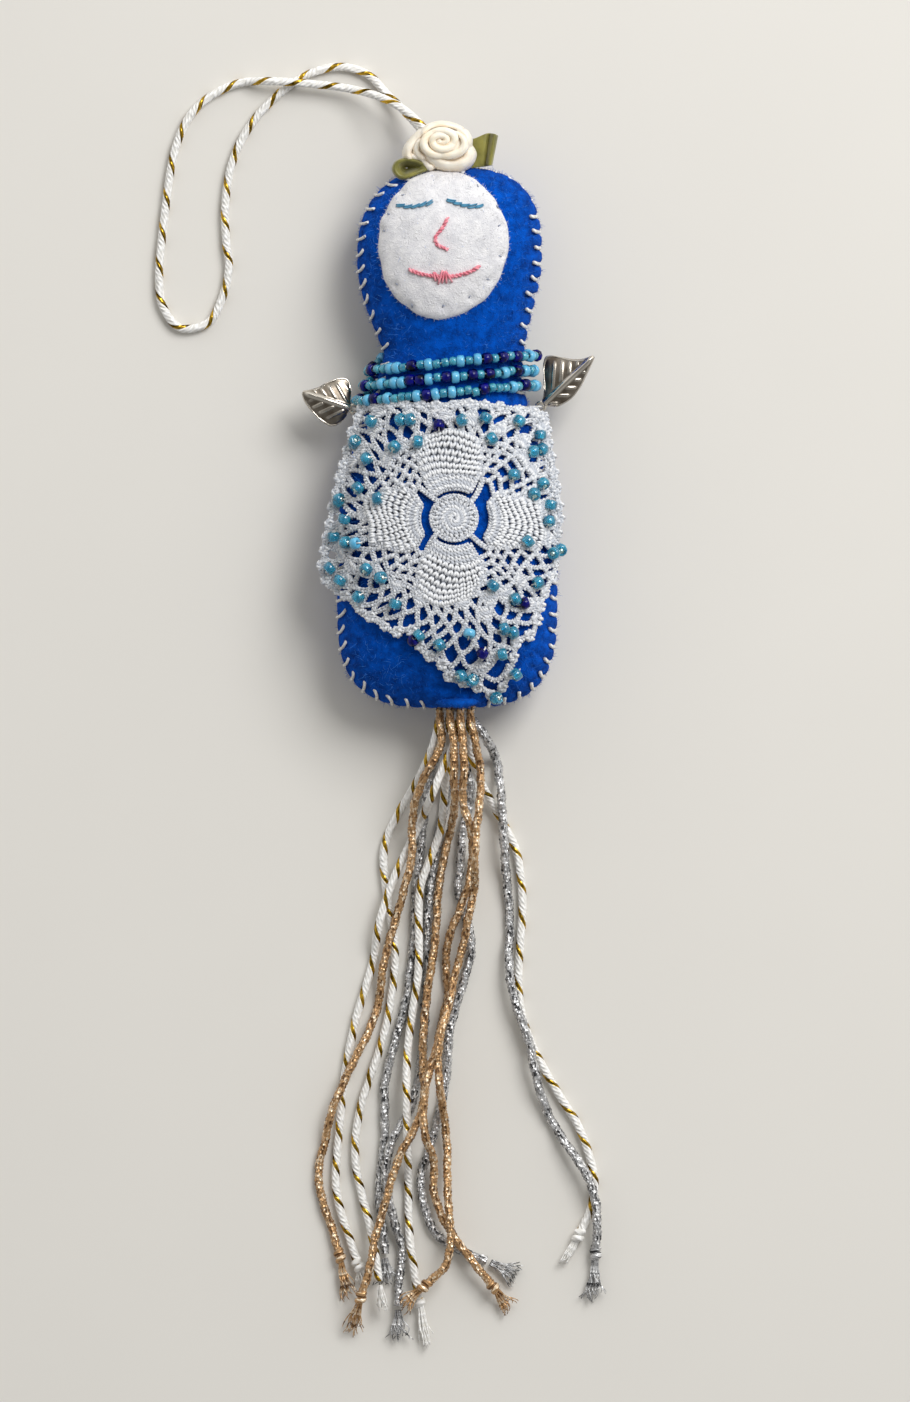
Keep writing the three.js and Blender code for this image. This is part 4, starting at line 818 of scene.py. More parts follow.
seam = seamLine()
closedSeam = np.concatenate([seam, seam[:1]])
seamRun = lengthAlong(closedSeam[:, :2])
seamLength = seamRun[-1]
stitchCount = int(round(seamLength / felt["stitch"]))
notchShare = rng.uniform(*felt["notchShare"], stitchCount)
alongSeam = unit(np.roll(seam[:, :2], -1, 0) - np.roll(seam[:, :2], 1, 0))
seamOut = np.stack([-alongSeam[:, 1], alongSeam[:, 0]], -1)       # clockwise, so left of the way is outside


def onCrown(x, y):
    return (x > felt["crownFrom"][0]) & (y > felt["crownFrom"][1])        # the crown's right part


def notchDepth(x, y):
    atHead = np.exp(-((y - felt["headNotchY"]) / felt["headNotchReach"]) ** 2) * (x > 0)
    depth = bySide(felt["notch"], x) + felt["headNotch"] * atHead
    return depth * np.where(onCrown(x, y), felt["crownNotch"], 1.0)


def lumps(x, y):
    turns = x[..., None] * lumpWaves[:, 0] + y[..., None] * lumpWaves[:, 1]
    return np.sin(turns + lumpWaves[:, 2]).mean(-1)


def panelPoints(side, shares, inset):
    # Share 0 is the spine and 1 the seam. Height = the swell less the inset, by the panel's curve, + lumps,
    # - the pull of each stitch beside the seam, - the crease above the front's lip, + the lip.
    s = shares[:, None]
    edge = ramp(s, *felt["edge"])
    turn = stitchCount * seamRun[:-1] / seamLength
    notch = (0.5 + 0.5 * np.cos(tau * turn)) ** 3 * notchShare[np.rint(turn).astype(int) % stitchCount]
    notch = notch[None] * notchDepth(seam[:, 0], seam[:, 1])[None]
    inward = notch * edge + inset * s
    x = seam[None, :, 0] * s - seamOut[None, :, 0] * inward
    y = seam[None, :, 2] + (seam[None, :, 1] - seam[None, :, 2]) * s - seamOut[None, :, 1] * inward
    rise = np.clip(swellAt(side, y) - inset, 0, None) * swellCurve(s)
    rise = rise + felt["lump"] * lumps(x, y) * (1 - s ** 6)
    pulled = ramp(s, *felt["pullFrom"]) * fade(s, 1.0, felt["pullEnd"])
    rise = rise - felt["pull"] * notch * pulled
    away = (x - tasselAt["x"]) / felt["lipWidth"]
    if side == "front":
        crease = np.exp(-(y - hemY - felt["creaseUp"]) ** 2) * smooth(felt["creaseSide"] - np.abs(away))
        rise = rise - felt["crease"] * crease
    lip = felt["lipRise"] * np.sqrt(np.clip(1 - away ** 2, 0, 1))
    lip = lip * smooth(1 - (y - hemY) / felt["lipReach"]) * smooth(s * 2 - 1) * felt["lipShare"][side]
    z = seamZ + wayOf[side] * (felt["seamGap"] + np.maximum(rise, 0) + lip)
    if side == "back":
        z = np.maximum(z, inset)
    return joined(x, y, z)


def quarterSine(count):
    return np.sin(np.linspace(0, np.pi / 2, count))        # shares that crowd together towards 1


# Loose fibres: short bent threads, each of a root, a knee and a tip, on random points of a grid of points.
fibreForm = dict(length=(0.5, 1.2), root=0.15, knee=0.55, bend=0.35, taper=(1.0, 0.9, 0.4), sides=3,
                 up=(0.31, 0.52, 0.79))


def hairs(surface, count, length, radius, lean, most=1.0, slot=0):
    normal = unit(np.cross(np.gradient(surface, axis=1), np.gradient(surface, axis=0)))
    rows = (surface.shape[0] - 1) * most * np.sqrt(rng.uniform(0, 1, count))
    r, c = rows.astype(int), rng.integers(0, surface.shape[1], count)
    base, out = surface[r, c], normal[r, c]
    out = np.where((out * (base - surface.mean((0, 1)))).sum(-1, keepdims=True) < 0, -out, out)
    drift = unit(rng.normal(size=(count, 3)))
    size = length * rng.uniform(*fibreForm["length"], (count, 1))
    way = unit(out * lean + drift)
    bend = unit(rng.normal(size=(count, 3))) * fibreForm["bend"] * size
    root, knee = base - fibreForm["root"] * out, base + fibreForm["knee"] * size * way
    paths = np.stack([root, knee, base + size * way + bend], 1)
    paths[..., 2] = np.maximum(paths[..., 2], 2 * radius)
    taper = radius * np.array(fibreForm["taper"])
    return tube(paths, taper, fibreForm["sides"], up=fibreForm["up"], slot=slot)


# The front's lip over the tassel: a rolled hem, thick in the middle, bowed over the cords. Its felt (slot 1)
# is a lighter copy of the blue felt: painted light where the roll catches the lamp.
lipRoll = dict(x=(-3.8, 8.0), y=-62.8, sag=0.7, half=1.25, z=15.8, bow=3.8, points=40, sides=14, lump=0.1,
               lumpTurns=(17, 41), ends=(0.03, 0.97), fullness=0.45)


def hemRoll():
    t = np.linspace(0, 1, lipRoll["points"])
    left, right = lipRoll["x"]
    roll = joined(left + (right - left) * t, lipRoll["y"] - lipRoll["sag"] * np.sin(np.pi * t),
                  lipRoll["z"] + lipRoll["bow"] * np.sqrt(1 - (2 * t - 1) ** 2))
    slow, quick = lipRoll["lumpTurns"]
    lumpy = 1 + lipRoll["lump"] * np.sin(slow * t + 1) * np.sin(quick * t)
    fullness = np.sin(np.pi * np.clip(t, *lipRoll["ends"])) ** lipRoll["fullness"]
    return tube(roll, lipRoll["half"] * lumpy * fullness, lipRoll["sides"], slot=1)


pile = dict(count=6000, length=1.0, radius=0.04, lean=0.4)
longPile = dict(count=1500, length=2.6, radius=0.035, lean=0.12, most=0.72, slot=1)
lipPile = dict(count=260, length=0.9, radius=0.04, lean=0.4)
for side in ("front", "back"):
    outer = panelPoints(side, quarterSine(felt["across"]), 0.0)
    inner = panelPoints(side, np.linspace(felt["innerEdge"], 0, felt["inner"]), felt["thickness"])
    parts = [ringed(np.concatenate([outer, inner]), flip=side == "front")]
    fuzz = [(outer, pile), (outer, longPile)]
    if side == "front":
        parts.append(hemRoll())
        ringPoints = lipRoll["points"] * lipRoll["sides"]
        lipGrid = parts[1]["points"][:ringPoints].reshape(lipRoll["points"], lipRoll["sides"], 3)
        fuzz.append((lipGrid, lipPile))
    piece = putPiece(side + "_felt_panel", "blue_felt", parts, [blueFelt, paintedLitLipFelt], [side + "_felt"],
                     weld=True)
    putPiece(side + "_felt_fibres", "blue_felt", [hairs(grid, **kind) for grid, kind in fuzz],
             [blueFibre, paleFibre])
print("felt panels sewn")

# Fibre fill, unseen inside the felt: the same form drawn in, with soft lumps.
filling = dict(rings=12, inset=3.0, every=4, lump=0.25, lumpTurns=(0.9, 1.3))
halves = [panelPoints(side, quarterSine(filling["rings"]), filling["inset"])[:, ::filling["every"]]
          for side in ("front", "back")]
fill = np.concatenate([halves[0], halves[1][-2::-1]])
turnX, turnY = filling["lumpTurns"]
fill = fill + filling["lump"] * np.sin(fill[..., 1:2] * turnY + fill[..., :1] * turnX) * (0, 0, 1)
fibreFill = putPiece("fibre_fill", "fibre_stuffing", [ringed(fill, flip=True)], [fillFibre], ["stuffing"],
                     weld=True)

# Whip stitches over the seam: out of the front, slanting over the edge, and into the back. Legs are shares
# of the reach and the lean, and the height over the felt. On the crown's right they sink into the nap.
stitch = dict(reach=(1.5, 1.0), lean=(1.5, 0.5), radius=(0.37, 0.44), over=0.3, half=0.9, loopGap=2.6,
              mouthGap=6.0, crownReach=0.25, crownOver=-0.8, crownSink=1.6, lowest=0.2,
              leanShare=(0.5, 1.3), reachShare=(0.7, 1.25), perSpan=5, sides=7, up=(0.2, 0.1, 0.05),
              legs=((1.0, 1.0, -0.6), (0.85, 0.8, 0.25), (0.4, 0.3, 0.4)))
run = seamLength * np.arange(stitchCount) / stitchCount
closedOut = np.concatenate([seamOut, seamOut[:1]])
edgeAt = np.stack([np.interp(run, seamRun, closedSeam[:, i]) for i in (0, 1)], -1)
outAt = unit(np.stack([np.interp(run, seamRun, closedOut[:, i]) for i in (0, 1)], -1))
edgeAt = edgeAt - outAt * (notchShare * notchDepth(edgeAt[:, 0], edgeAt[:, 1]))[:, None]
upAt = np.stack([outAt[:, 1], -outAt[:, 0]], -1)
upAt = upAt * np.where(edgeAt[:, :1] < 0, -1, 1) * np.sign(outAt[:, :1] * edgeAt[:, :1] + 1e-6)
upAt = upAt * np.where(upAt[:, 1:] < 0, -1, 1)


def stitchPoint(side, inward, lean, lift):
    at = edgeAt - outAt * inward + upAt * lean
    share = np.minimum(seamShare(at[:, 0], at[:, 1]), 1)
    skin = seamZ + wayOf[side] * (felt["seamGap"] + swellAt(side, at[:, 1]) * swellCurve(share))
    return np.column_stack([at, np.maximum(skin + wayOf[side] * lift, stitch["lowest"])])


each = (stitchCount, 1)
lean = bySide(stitch["lean"], edgeAt[:, :1]) * rng.uniform(*stitch["leanShare"], each)
reachIn = bySide(stitch["reach"], edgeAt[:, :1]) * rng.uniform(*stitch["reachShare"], each)
sunken = onCrown(edgeAt[:, :1], edgeAt[:, 1:])
reachIn = np.where(sunken, stitch["crownReach"], reachIn)
outer = edgeAt + outAt * np.where(sunken, stitch["crownOver"], stitch["over"])
sink = stitch["crownSink"] * sunken[:, 0]
rows = [stitchPoint("front", reachIn * a, lean * b, lift - sink) for a, b, lift in stitch["legs"]]
rows += [np.column_stack([outer, np.full(stitchCount, seamZ + way * stitch["half"])]) for way in (1, -1)]
rows += [stitchPoint("back", reachIn * a, -lean * b, lift) for a, b, lift in stitch["legs"][::-1]]
stitchPaths = curveThrough(np.stack(rows, 1), stitch["perSpan"])
atLoop = (np.abs(edgeAt[:, 0] - loop["x"]) < stitch["loopGap"]) & (edgeAt[:, 1] > form["headY"])
atMouth = (np.abs(edgeAt[:, 0] - tasselAt["x"]) < stitch["mouthGap"]) & (edgeAt[:, 1] < form["torsoY"])
for i, side in enumerate(("left", "right")):
    chosen = stitchPaths[((edgeAt[:, 0] >= 0) == i) & ~atLoop & ~atMouth]
    thread = tube(chosen, stitch["radius"][i], stitch["sides"], up=stitch["up"])
    putPiece("whip_stitches_" + side, "white_thread", [thread], [cottonThread], ["edge_stitching_" + side])
print("edge stitched")

# Face: a felt oval laid on the head, its rim rounded over, dimpled where it is tacked down. Wobbles are
# shares of the outline's radius, waves round it, and phases.
face = dict(x=-1.2, y=46.1, halfWidth=15.4, halfHeight=17.7, lean=-5.0, thickness=1.6, under=-0.3,
            dimple=0.6, dimpleSize=0.9, ripple=0.25, ripplePitch=2.2, rings=34, underEvery=8, around=150,
            rim=14, wobbles=((0.012, 3, 1), (0.008, 7, 0), (0.006, 17, 2)), tackHalf=0.4,
            tackRadius=0.17, tackDip=0.35,
            tacks=[(-10.7, 58.1), (-14.1, 53.5), (-15.2, 49.4), (-12.2, 36.6), (-8.6, 31.5), (-1.2, 31.4),
                   (5.2, 33.6), (9.5, 37.8), (12.4, 43.4), (12.2, 50.6), (11.9, 55.2), (7.2, 60.2),
                   (-3.4, 61.6)])
facePile = dict(count=2200, length=0.65, radius=0.035, lean=0.4)


def faceRipple(flat):
    spot = flat * face["ripplePitch"]
    return face["ripple"] * lumps(spot[..., 0], spot[..., 1])


def onFace(flat, lift):
    # The lift moves a point sideways on a slope, so the same step is first taken back.
    lift = face["thickness"] + faceRipple(flat) + lift
    moved = onFront(flat, lift)[0]
    return onFront(2 * flat - moved[..., :2], lift)


share = quarterSine(face["rings"])[:, None]
angle = ringOf(face["around"])[None]
wobble = 1 + sum(size * np.sin(waves * angle + phase) for size, waves, phase in face["wobbles"])
fx = face["halfWidth"] * share * np.cos(angle) * wobble
fy = face["halfHeight"] * share * np.sin(angle) * wobble
turn = np.radians(face["lean"])
oval = joined(face["x"] + fx * np.cos(turn) - fy * np.sin(turn),
              face["y"] + fx * np.sin(turn) + fy * np.cos(turn))
tacks = np.array(face["tacks"])
away = np.linalg.norm(oval[..., None, :] - tacks, axis=-1)
dimples = np.exp(-(away / face["dimpleSize"]) ** 2).sum(-1)
faceLift = face["thickness"] * np.clip(1 - share ** face["rim"], 0, 1) ** 0.5 + faceRipple(oval)
faceTop, _ = onFront(oval, faceLift - face["dimple"] * dimples)
faceUnder, _ = onFront(oval[::-face["underEvery"]], face["under"])
facePart = ringed(np.concatenate([faceTop, faceUnder]))
putPiece("face_oval", "white_felt", [facePart], [whiteFelt], ["face_felt"], weld=True)
putPiece("face_fibres", "white_felt", [hairs(faceTop, **facePile)], [whiteFibre])
# Tacks: short runs of thread sunk into the dimples, greyed as painted shade.
tackWay = rng.uniform(0, np.pi, (len(tacks), 1))
t = np.linspace(-1, 1, 5)
tackSteps = face["tackHalf"] * joined(t * np.cos(tackWay), t * np.sin(tackWay))
tackRuns = onFace(tacks[:, None] + tackSteps, -face["tackDip"] - face["tackDip"] * t ** 2)[0]
putPiece("face_tacks", "white_thread", [tube(tackRuns, face["tackRadius"], 5)], [shadeTackThread])


# Two strands of floss twined along a line, drawn down into the felt at the end of every stitch.
floss = dict(perSpan=20, step=0.16, lift=0.3, dip=0.5, sharpness=10, sides=7)


def twined(line, strand, pitch, stitchLength):
    flat = drawn(line, floss["perSpan"], floss["step"])
    s = lengthAlong(flat)
    height = floss["lift"] - floss["dip"] * np.abs(np.cos(np.pi * s / stitchLength)) ** floss["sharpness"]
    path, out = onFace(flat, height)
    _, across, rise = pathFrames(path, out)
    swing = (tau * s / pitch + np.pi * np.arange(2)[:, None])[..., None]
    return tube(path + strand * (np.cos(swing) * across + np.sin(swing) * rise), strand, floss["sides"], out)


# Stem stitch: short slanting stitches that overlap along a line, each of two strands, up out of the felt
# and down again: height = lift * sin(pi t)^0.5 - dip, and a side step from -slant to slant.
stem = dict(length=2.2, step=1.75, slant=0.26, strand=0.2, lift=0.75, dip=0.3, apart=1.1, stray=0.06,
            uneven=0.05, lastShare=0.7, lengthShare=(0.9, 1.1), perSpan=30, points=10)


def stemStitches(line):
    flat = curveThrough(np.array(line, float), stem["perSpan"])
    whole = lengthAlong(flat)[-1]
    starts = np.arange(0, whole - stem["lastShare"] * stem["length"], stem["step"])
    t = np.linspace(0, 1, stem["points"])
    each = (len(starts), 1)
    run = stem["length"] * t * rng.uniform(*stem["lengthShare"], each)
    places = np.clip(starts[:, None] + run, 0, whole)
    centre = pointsAt(flat, places.ravel()).reshape(len(starts), len(t), 2)
    ahead = unit(np.gradient(centre, axis=1))
    normal = np.stack([-ahead[..., 1], ahead[..., 0]], -1)
    paths = []
    for strandSide in (-1, 1):
        off = stem["slant"] * (2 * t - 1) + strandSide * stem["apart"] * stem["strand"]
        off = off + rng.normal(0, stem["stray"], each)
        spot = centre + off[..., None] * normal
        height = stem["lift"] * np.sin(np.pi * t) ** 0.5 - stem["dip"] + rng.normal(0, stem["uneven"], each)
        paths.append(onFace(spot, height)[0])
    return tube(np.concatenate(paths), stem["strand"], 6)


eyes = dict(left_eye=[(-12.4, 55.8), (-9.5, 55.3), (-6.7, 55.6), (-3.4, 56.5)],
            right_eye=[(-0.3, 57.1), (2.1, 56.1), (5.2, 55.4), (8.5, 55.4)])
for name, line in eyes.items():
    putPiece(name + "_stitches", "blue_thread", [stemStitches(line)], [blueFloss], [name])
nose = dict(line=[(0, 52.6), (-1.2, 50.2), (-3.0, 47.7), (-2.7, 46.2), (0, 44.8)], floss=(0.25, 1.9, 2.4))
putPiece("nose_stitches", "pink_thread", [twined(nose["line"], *nose["floss"])], [pinkFloss], ["nose"])
# Mouth: a line, and upright bars over its middle for the lips. Floss is strand, pitch and stitch length.
mouth = dict(line=[(-9.3, 40.1), (-7.4, 39.3), (-4.9, 38.7), (-1.5, 38.4), (2.1, 38.6), (5.2, 39.5),
                   (7.6, 40.8)], floss=(0.27, 1.8, 2.2), bars=6, middle=(-3.2, 0.3), half=1.65,
             strand=0.24, drop=0.2, slant=0.75, lift=0.95, fall=1.1, uneven=0.2,
             bulge=(0.6, 0.4), bulgeEnd=0.2, halfShare=(0.8, 1.2))
each = (mouth["bars"], 1)
barX = np.linspace(*mouth["middle"], mouth["bars"])
middleY = np.interp(barX, *np.array(mouth["line"]).T) - mouth["drop"]
bulgeTurn = np.linspace(mouth["bulgeEnd"], np.pi - mouth["bulgeEnd"], mouth["bars"])
bulge = mouth["bulge"][0] + mouth["bulge"][1] * np.sin(bulgeTurn)
barHalf = mouth["half"] * bulge * rng.uniform(*mouth["halfShare"], mouth["bars"])
t = np.linspace(-1, 1, 12)
slant = rng.uniform(-mouth["slant"], mouth["slant"], each) * t
barHeight = mouth["lift"] - mouth["fall"] * t ** 4 + rng.normal(0, mouth["uneven"], each)
bars = onFace(joined(barX[:, None] + slant, middleY[:, None] + barHalf[:, None] * t), barHeight)[0]
lips = [twined(mouth["line"], *mouth["floss"]), tube(bars, mouth["strand"], 6)]
putPiece("mouth_stitches", "pink_thread", lips, [pinkFloss], ["mouth"])
print("face embroidered")

# Ribbon rose: one satin ribbon rolled up from its eye, every turn a soft round fold: section = offsets from
# the turn and drops from its crest, as shares of half a turn's width.
rose = dict(eye=(-1.6, 71.2), rim=(-1.3, 70.4), half=(5.3, 3.7), base=14.4, turns=2.9, start=100,
            first=0.04, rise=(6.1, 6.9, 6.0), wall=0.62, petal=0.1, petalRise=0.7, petalTurns=1.25,
            petalPhase=0.4, tightness=0.9, points=320, thickness=0.45, tuck=0.16, tuckDrop=1.3,
            tuckWidth=0.35, ripple=0.15, rippleTurns=1.3, riseAt=(0, 0.35, 1), wallAt=(0, 0.1, 0.92, 1),
            walls=(0.35, 0.85, 1.1, 0.25), petalStep=0.3,
            section=[(-1.0, -6.0), (-1.0, -1.5), (-0.95, -0.85), (-0.75, -0.4), (-0.4, -0.1), (0.0, 0.0),
                     (0.4, -0.08), (0.75, -0.32), (1.0, -0.8), (1.05, -1.5), (1.0, -6.0)],
            profile=[(-0.42, 0.95), (-0.4, 0.5), (-0.3, 0.16), (-0.12, 0.02), (0.1, 0.0), (0.35, 0.06),
                     (0.6, 0.2), (0.82, 0.42), (0.95, 0.7), (1.0, 1.0)])
petalFolds = [                           # route of the crest, its height, width and drop
    ([(-0.4, 67.4), (2.0, 67.8), (3.9, 69.2), (4.6, 71.0), (4.0, 72.6), (2.2, 73.6)], 19.9, 1.1, 4.5),
    ([(-5.8, 70.2), (-4.6, 68.4), (-2.6, 66.7), (-0.2, 65.8), (2.2, 65.7), (4.2, 66.8), (4.8, 68.8),
      (4.8, 70.6)], 19.0, 2.1, 4.8),
    ([(4.6, 72.4), (3.0, 73.6), (0.6, 74.6), (-1.8, 74.9), (-4.2, 74.3), (-6.0, 72.8), (-7.0, 71.0)],
     18.8, 0.9, 4.6),
    ([(-4.8, 73.6), (-6.8, 72.2), (-8.4, 70.4), (-9.4, 68.6), (-9.2, 67.2), (-8.0, 66.6)], 18.4, 1.3, 4.0),
    ([(-5.8, 71.6), (-6.9, 70.4), (-7.4, 69.0), (-6.8, 67.8), (-5.2, 66.8)], 18.8, 1.2, 4.0),
    ([(-9.2, 68.4), (-8.2, 67.4), (-6.8, 67.0), (-5.6, 66.2), (-4.6, 65.2), (-2.8, 64.8)], 17.8, 1.1, 3.6)]
cushion = dict(x=-1.0, y=70.0, half=(6.6, 4.4), lift=0.2, rise=5.4, edge=1.02, power=0.3, rings=9, around=60)


def rolledRibbon():
    grow = np.linspace(0, 1, rose["points"])
    angle = np.radians(rose["start"]) + tau * rose["turns"] * grow ** rose["tightness"]
    fold = np.abs(np.sin(rose["petalTurns"] * angle + rose["petalPhase"]))
    share = (rose["first"] + (1 - rose["first"]) * grow) * (1 + rose["petal"] * grow * (fold - 0.5) * 2)
    tallness = np.interp(grow, rose["riseAt"], rose["rise"]) + rose["petalRise"] * grow * (fold - 0.5)
    wall = rose["wall"] * np.mean(rose["half"]) / rose["turns"]
    wall = (wall * np.interp(grow, rose["wallAt"], rose["walls"]))[:, None]
    section = np.array(rose["section"])
    shift = (share ** 2)[:, None]
    middle = np.array(rose["eye"]) * (1 - shift) + np.array(rose["rim"]) * shift
    spoke = joined(np.cos(angle), np.sin(angle))
    spread = (wall * section[:, 0])[..., None] * spoke[:, None]
    flat = (middle + share[:, None] * np.array(rose["half"]) * spoke)[:, None] + spread
    z = np.maximum(rose["base"] + tallness[:, None] + section[:, 1] * wall, rose["base"])
    return ringed(withHeight(flat, z), flip=True, caps=((0, 1), (rose["points"] - 1, -1)))


def foldedPetal(route, top, wide, drop):
    # A ribbon folded over its crest: up inside the route, round, and down outside it (right of the way).
    # Both ends tuck in lower and narrower.
    path = drawn(route, 12, rose["petalStep"])
    out = unit(np.gradient(path, axis=0))[:, ::-1] * (1, -1)
    run = np.linspace(0, 1, len(path))
    tuck = ramp(run, 0, rose["tuck"]) * fade(run, 1, rose["tuck"])
    profile = np.array(rose["profile"])
    narrow = rose["tuckWidth"] + (1 - rose["tuckWidth"]) * tuck
    flat = path[None] + (profile[:, :1] * wide * narrow)[..., None] * out[None]
    ripple = rose["ripple"] * np.sin(lengthAlong(path) * rose["rippleTurns"])
    z = top - rose["tuckDrop"] * (1 - tuck) + ripple - profile[:, 1:] * drop
    return slab(withHeight(flat, z), rose["thickness"])


def roundCushion():
    # A flat dome under the folds: height = rise (edge - share^2)^power.
    turn = ringOf(cushion["around"])
    out = quarterSine(cushion["rings"])[:, None]
    x = cushion["x"] + cushion["half"][0] * out * np.cos(turn)
    y = cushion["y"] + cushion["half"][1] * out * np.sin(turn)
    z = rose["base"] + cushion["lift"] + cushion["rise"] * (cushion["edge"] - out ** 2) ** cushion["power"]
    return ringed(joined(x, y, z), caps=((cushion["rings"] - 1, -1),))


roseParts = [rolledRibbon(), roundCushion(), *(foldedPetal(*fold) for fold in petalFolds)]
putPiece("satin_ribbon_rose", "cream_satin", roseParts, [creamSatin], ["ribbon_rose"], weld=True)

# Right leaf: a cut end of ribbon, hollowed along its length, its right edge rolled towards the viewer.
rightLeaf = dict(corners=[(5.6, 64.6), (10.5, 65.3), (6.0, 71.7), (11.9, 72.4)], tipBow=0.9, z=13.6,
                 hollow=0.8, hollowAt=0.7, hollowWidth=0.1, roll=1.9, rollWidth=0.2, lip=1.3,
                 lipFrom=(0.9, 0.1), twist=0.3, twistTurn=3, bowPower=1.5)
v, u = np.meshgrid(np.linspace(0, 1, 24), np.linspace(0, 1, 30), indexing="ij")
weights = joined((1 - u) * (1 - v), u * (1 - v), (1 - u) * v, u * v)
flat = weights @ np.array(rightLeaf["corners"])
flat[..., 1] += rightLeaf["tipBow"] * np.sin(np.pi * u ** rightLeaf["bowPower"]) * v
hollowed = np.exp(-((u - rightLeaf["hollowAt"]) / rightLeaf["hollowWidth"]) ** 2)
rolled = ramp(u, rightLeaf["hollowAt"], rightLeaf["rollWidth"])
z = (rightLeaf["z"] - rightLeaf["hollow"] * hollowed + rightLeaf["roll"] * rolled
     - rightLeaf["lip"] * ramp(u, *rightLeaf["lipFrom"])
     + rightLeaf["twist"] * np.sin(rightLeaf["twistTurn"] * v) * u)
leafThickness = 0.4
leafSurfaces = dict(right=withHeight(flat, z))
# Left leaf: a ribbon loop that one sees into: a deep dish whose rim rolls over.
leftLeaf = dict(middle=(-9.9, 64.7), eye=0.06, z=14.4, wall=3.6, wallReach=0.85, wallPower=1.6, roll=1.5,
                rollFrom=(0.86, 0.14), underRose=0.8, underFrom=(-8, 3.4),
                rim=[(-4.6, 65.6), (-7.0, 66.5), (-10.2, 66.9), (-12.5, 66.1), (-13.3, 64.4), (-12.5, 62.7),
                     (-10.8, 61.9), (-8.6, 62.5), (-6.4, 63.4), (-4.6, 64.3), (-4.6, 65.6)])
rim = drawn(leftLeaf["rim"], 8, 0.5)
out = np.linspace(leftLeaf["eye"], 1, 16)[:, None]
flat = np.array(leftLeaf["middle"]) * (1 - out[..., None]) + rim[None] * out[..., None]
z = (leftLeaf["z"] + leftLeaf["wall"] * ramp(out, 0, leftLeaf["wallReach"]) ** leftLeaf["wallPower"]
     - leftLeaf["roll"] * ramp(out, *leftLeaf["rollFrom"])
     - leftLeaf["underRose"] * ramp(flat[..., 0], *leftLeaf["underFrom"]))
leafSurfaces["left"] = withHeight(flat, z)
for side, surface in leafSurfaces.items():
    putPiece("satin_leaf_" + side, "olive_satin", [slab(surface, leafThickness)], [oliveSatin],
             ["rose_leaf_" + side])
print("rose rolled")

# Seed beads: short glass rings on a thread. Section = a rounded square turned about the hole; teal and aqua
# ones have a silver lining. A strand's order of colours starts at its right end and goes on at random.
bead = dict(sides=9, section=8, squareness=0.75, gap=0.12, clear=1.9, thread=0.22, seamHeight=3.4,
            seamClear=1.05, lining=0.98, liningHalf=0.46, liningSlot=3, threadSlot=4,
            spare="btttn", spareCount=60, stray=0.12, strayWays=(0.4, 1, 0.2), tilt=0.04, near=0.3,
            lineStep=0.25, lineSides=360, frontReach=0.7,
            b=dict(radius=1.5, length=1.95, hole=0.5, slot=0, lined=False),
            t=dict(radius=1.12, length=1.75, hole=0.5, slot=1, lined=True),
            n=dict(radius=1.5, length=2.25, hole=0.5, slot=2, lined=False),
            a=dict(radius=1.6, length=2.2, hole=0.6, slot=5, lined=True))
glassSkins = [blueGlass, tealGlass, navyGlass, silverLining, cottonThread, aquaGlass]
strands = dict(top=dict(left=15.9, right=19.9, back=20.4, order="ntbtntntnbtbtttbtntbbt"),
               middle=dict(left=12.3, right=16.3, back=16.8, order="tbtbntbtntntbntbnnbbtbt"),
               bottom=dict(left=8.7, right=12.6, back=13.2, order="tbtntbtttntttbtbnbtttb"))
yUp = (0.0, 1.0, 0.0)
zUp = (0.0, 0.0, 1.0)


def beadParts(centres, axes, kinds, up):
    # Every bead of a kind at once: its middle + axis times length part + (across, rise) times radius part.
    def soft(w):
        return np.sign(w) * np.abs(w) ** bead["squareness"]

    parts = []
    turn, around = ringOf(bead["section"]), ringOf(bead["sides"])
    quads = gridQuads(bead["sides"], bead["section"], True, True)[:, ::-1]
    for kind in "btna":
        chosen = np.array([k == kind for k in kinds])
        if not chosen.any():
            continue
        b = bead[kind]
        reachOut = (b["radius"] + b["hole"]) / 2 + (b["radius"] - b["hole"]) / 2 * soft(np.cos(turn))
        run = b["length"] / 2 * soft(np.sin(turn))
        axis, centre = unit(axes[chosen]), centres[chosen]
        across = unit(np.cross(np.broadcast_to(up, axis.shape), axis))
        rise = np.cross(axis, across)
        ring = np.cos(around)[:, None] * across[:, None] + np.sin(around)[:, None] * rise[:, None]
        points = (centre[:, None, None] + ring[:, :, None] * reachOut[None, None, :, None]
                  + axis[:, None, None] * run[None, None, :, None])
        first = (np.arange(len(points)) * bead["sides"] * bead["section"])[:, None, None]
        faces = [(first + quads).reshape(-1, 4)]
        parts.append(dict(points=points.reshape(-1, 3), faces=faces, slot=b["slot"]))
        if b["lined"]:
            along = np.linspace(-bead["liningHalf"], bead["liningHalf"], 3) * b["length"]
            core = centre[:, None] + axis[:, None] * along[None, :, None]
            parts.append(tube(core, b["hole"] * bead["lining"], 7, up=up, slot=bead["liningSlot"]))
    return parts


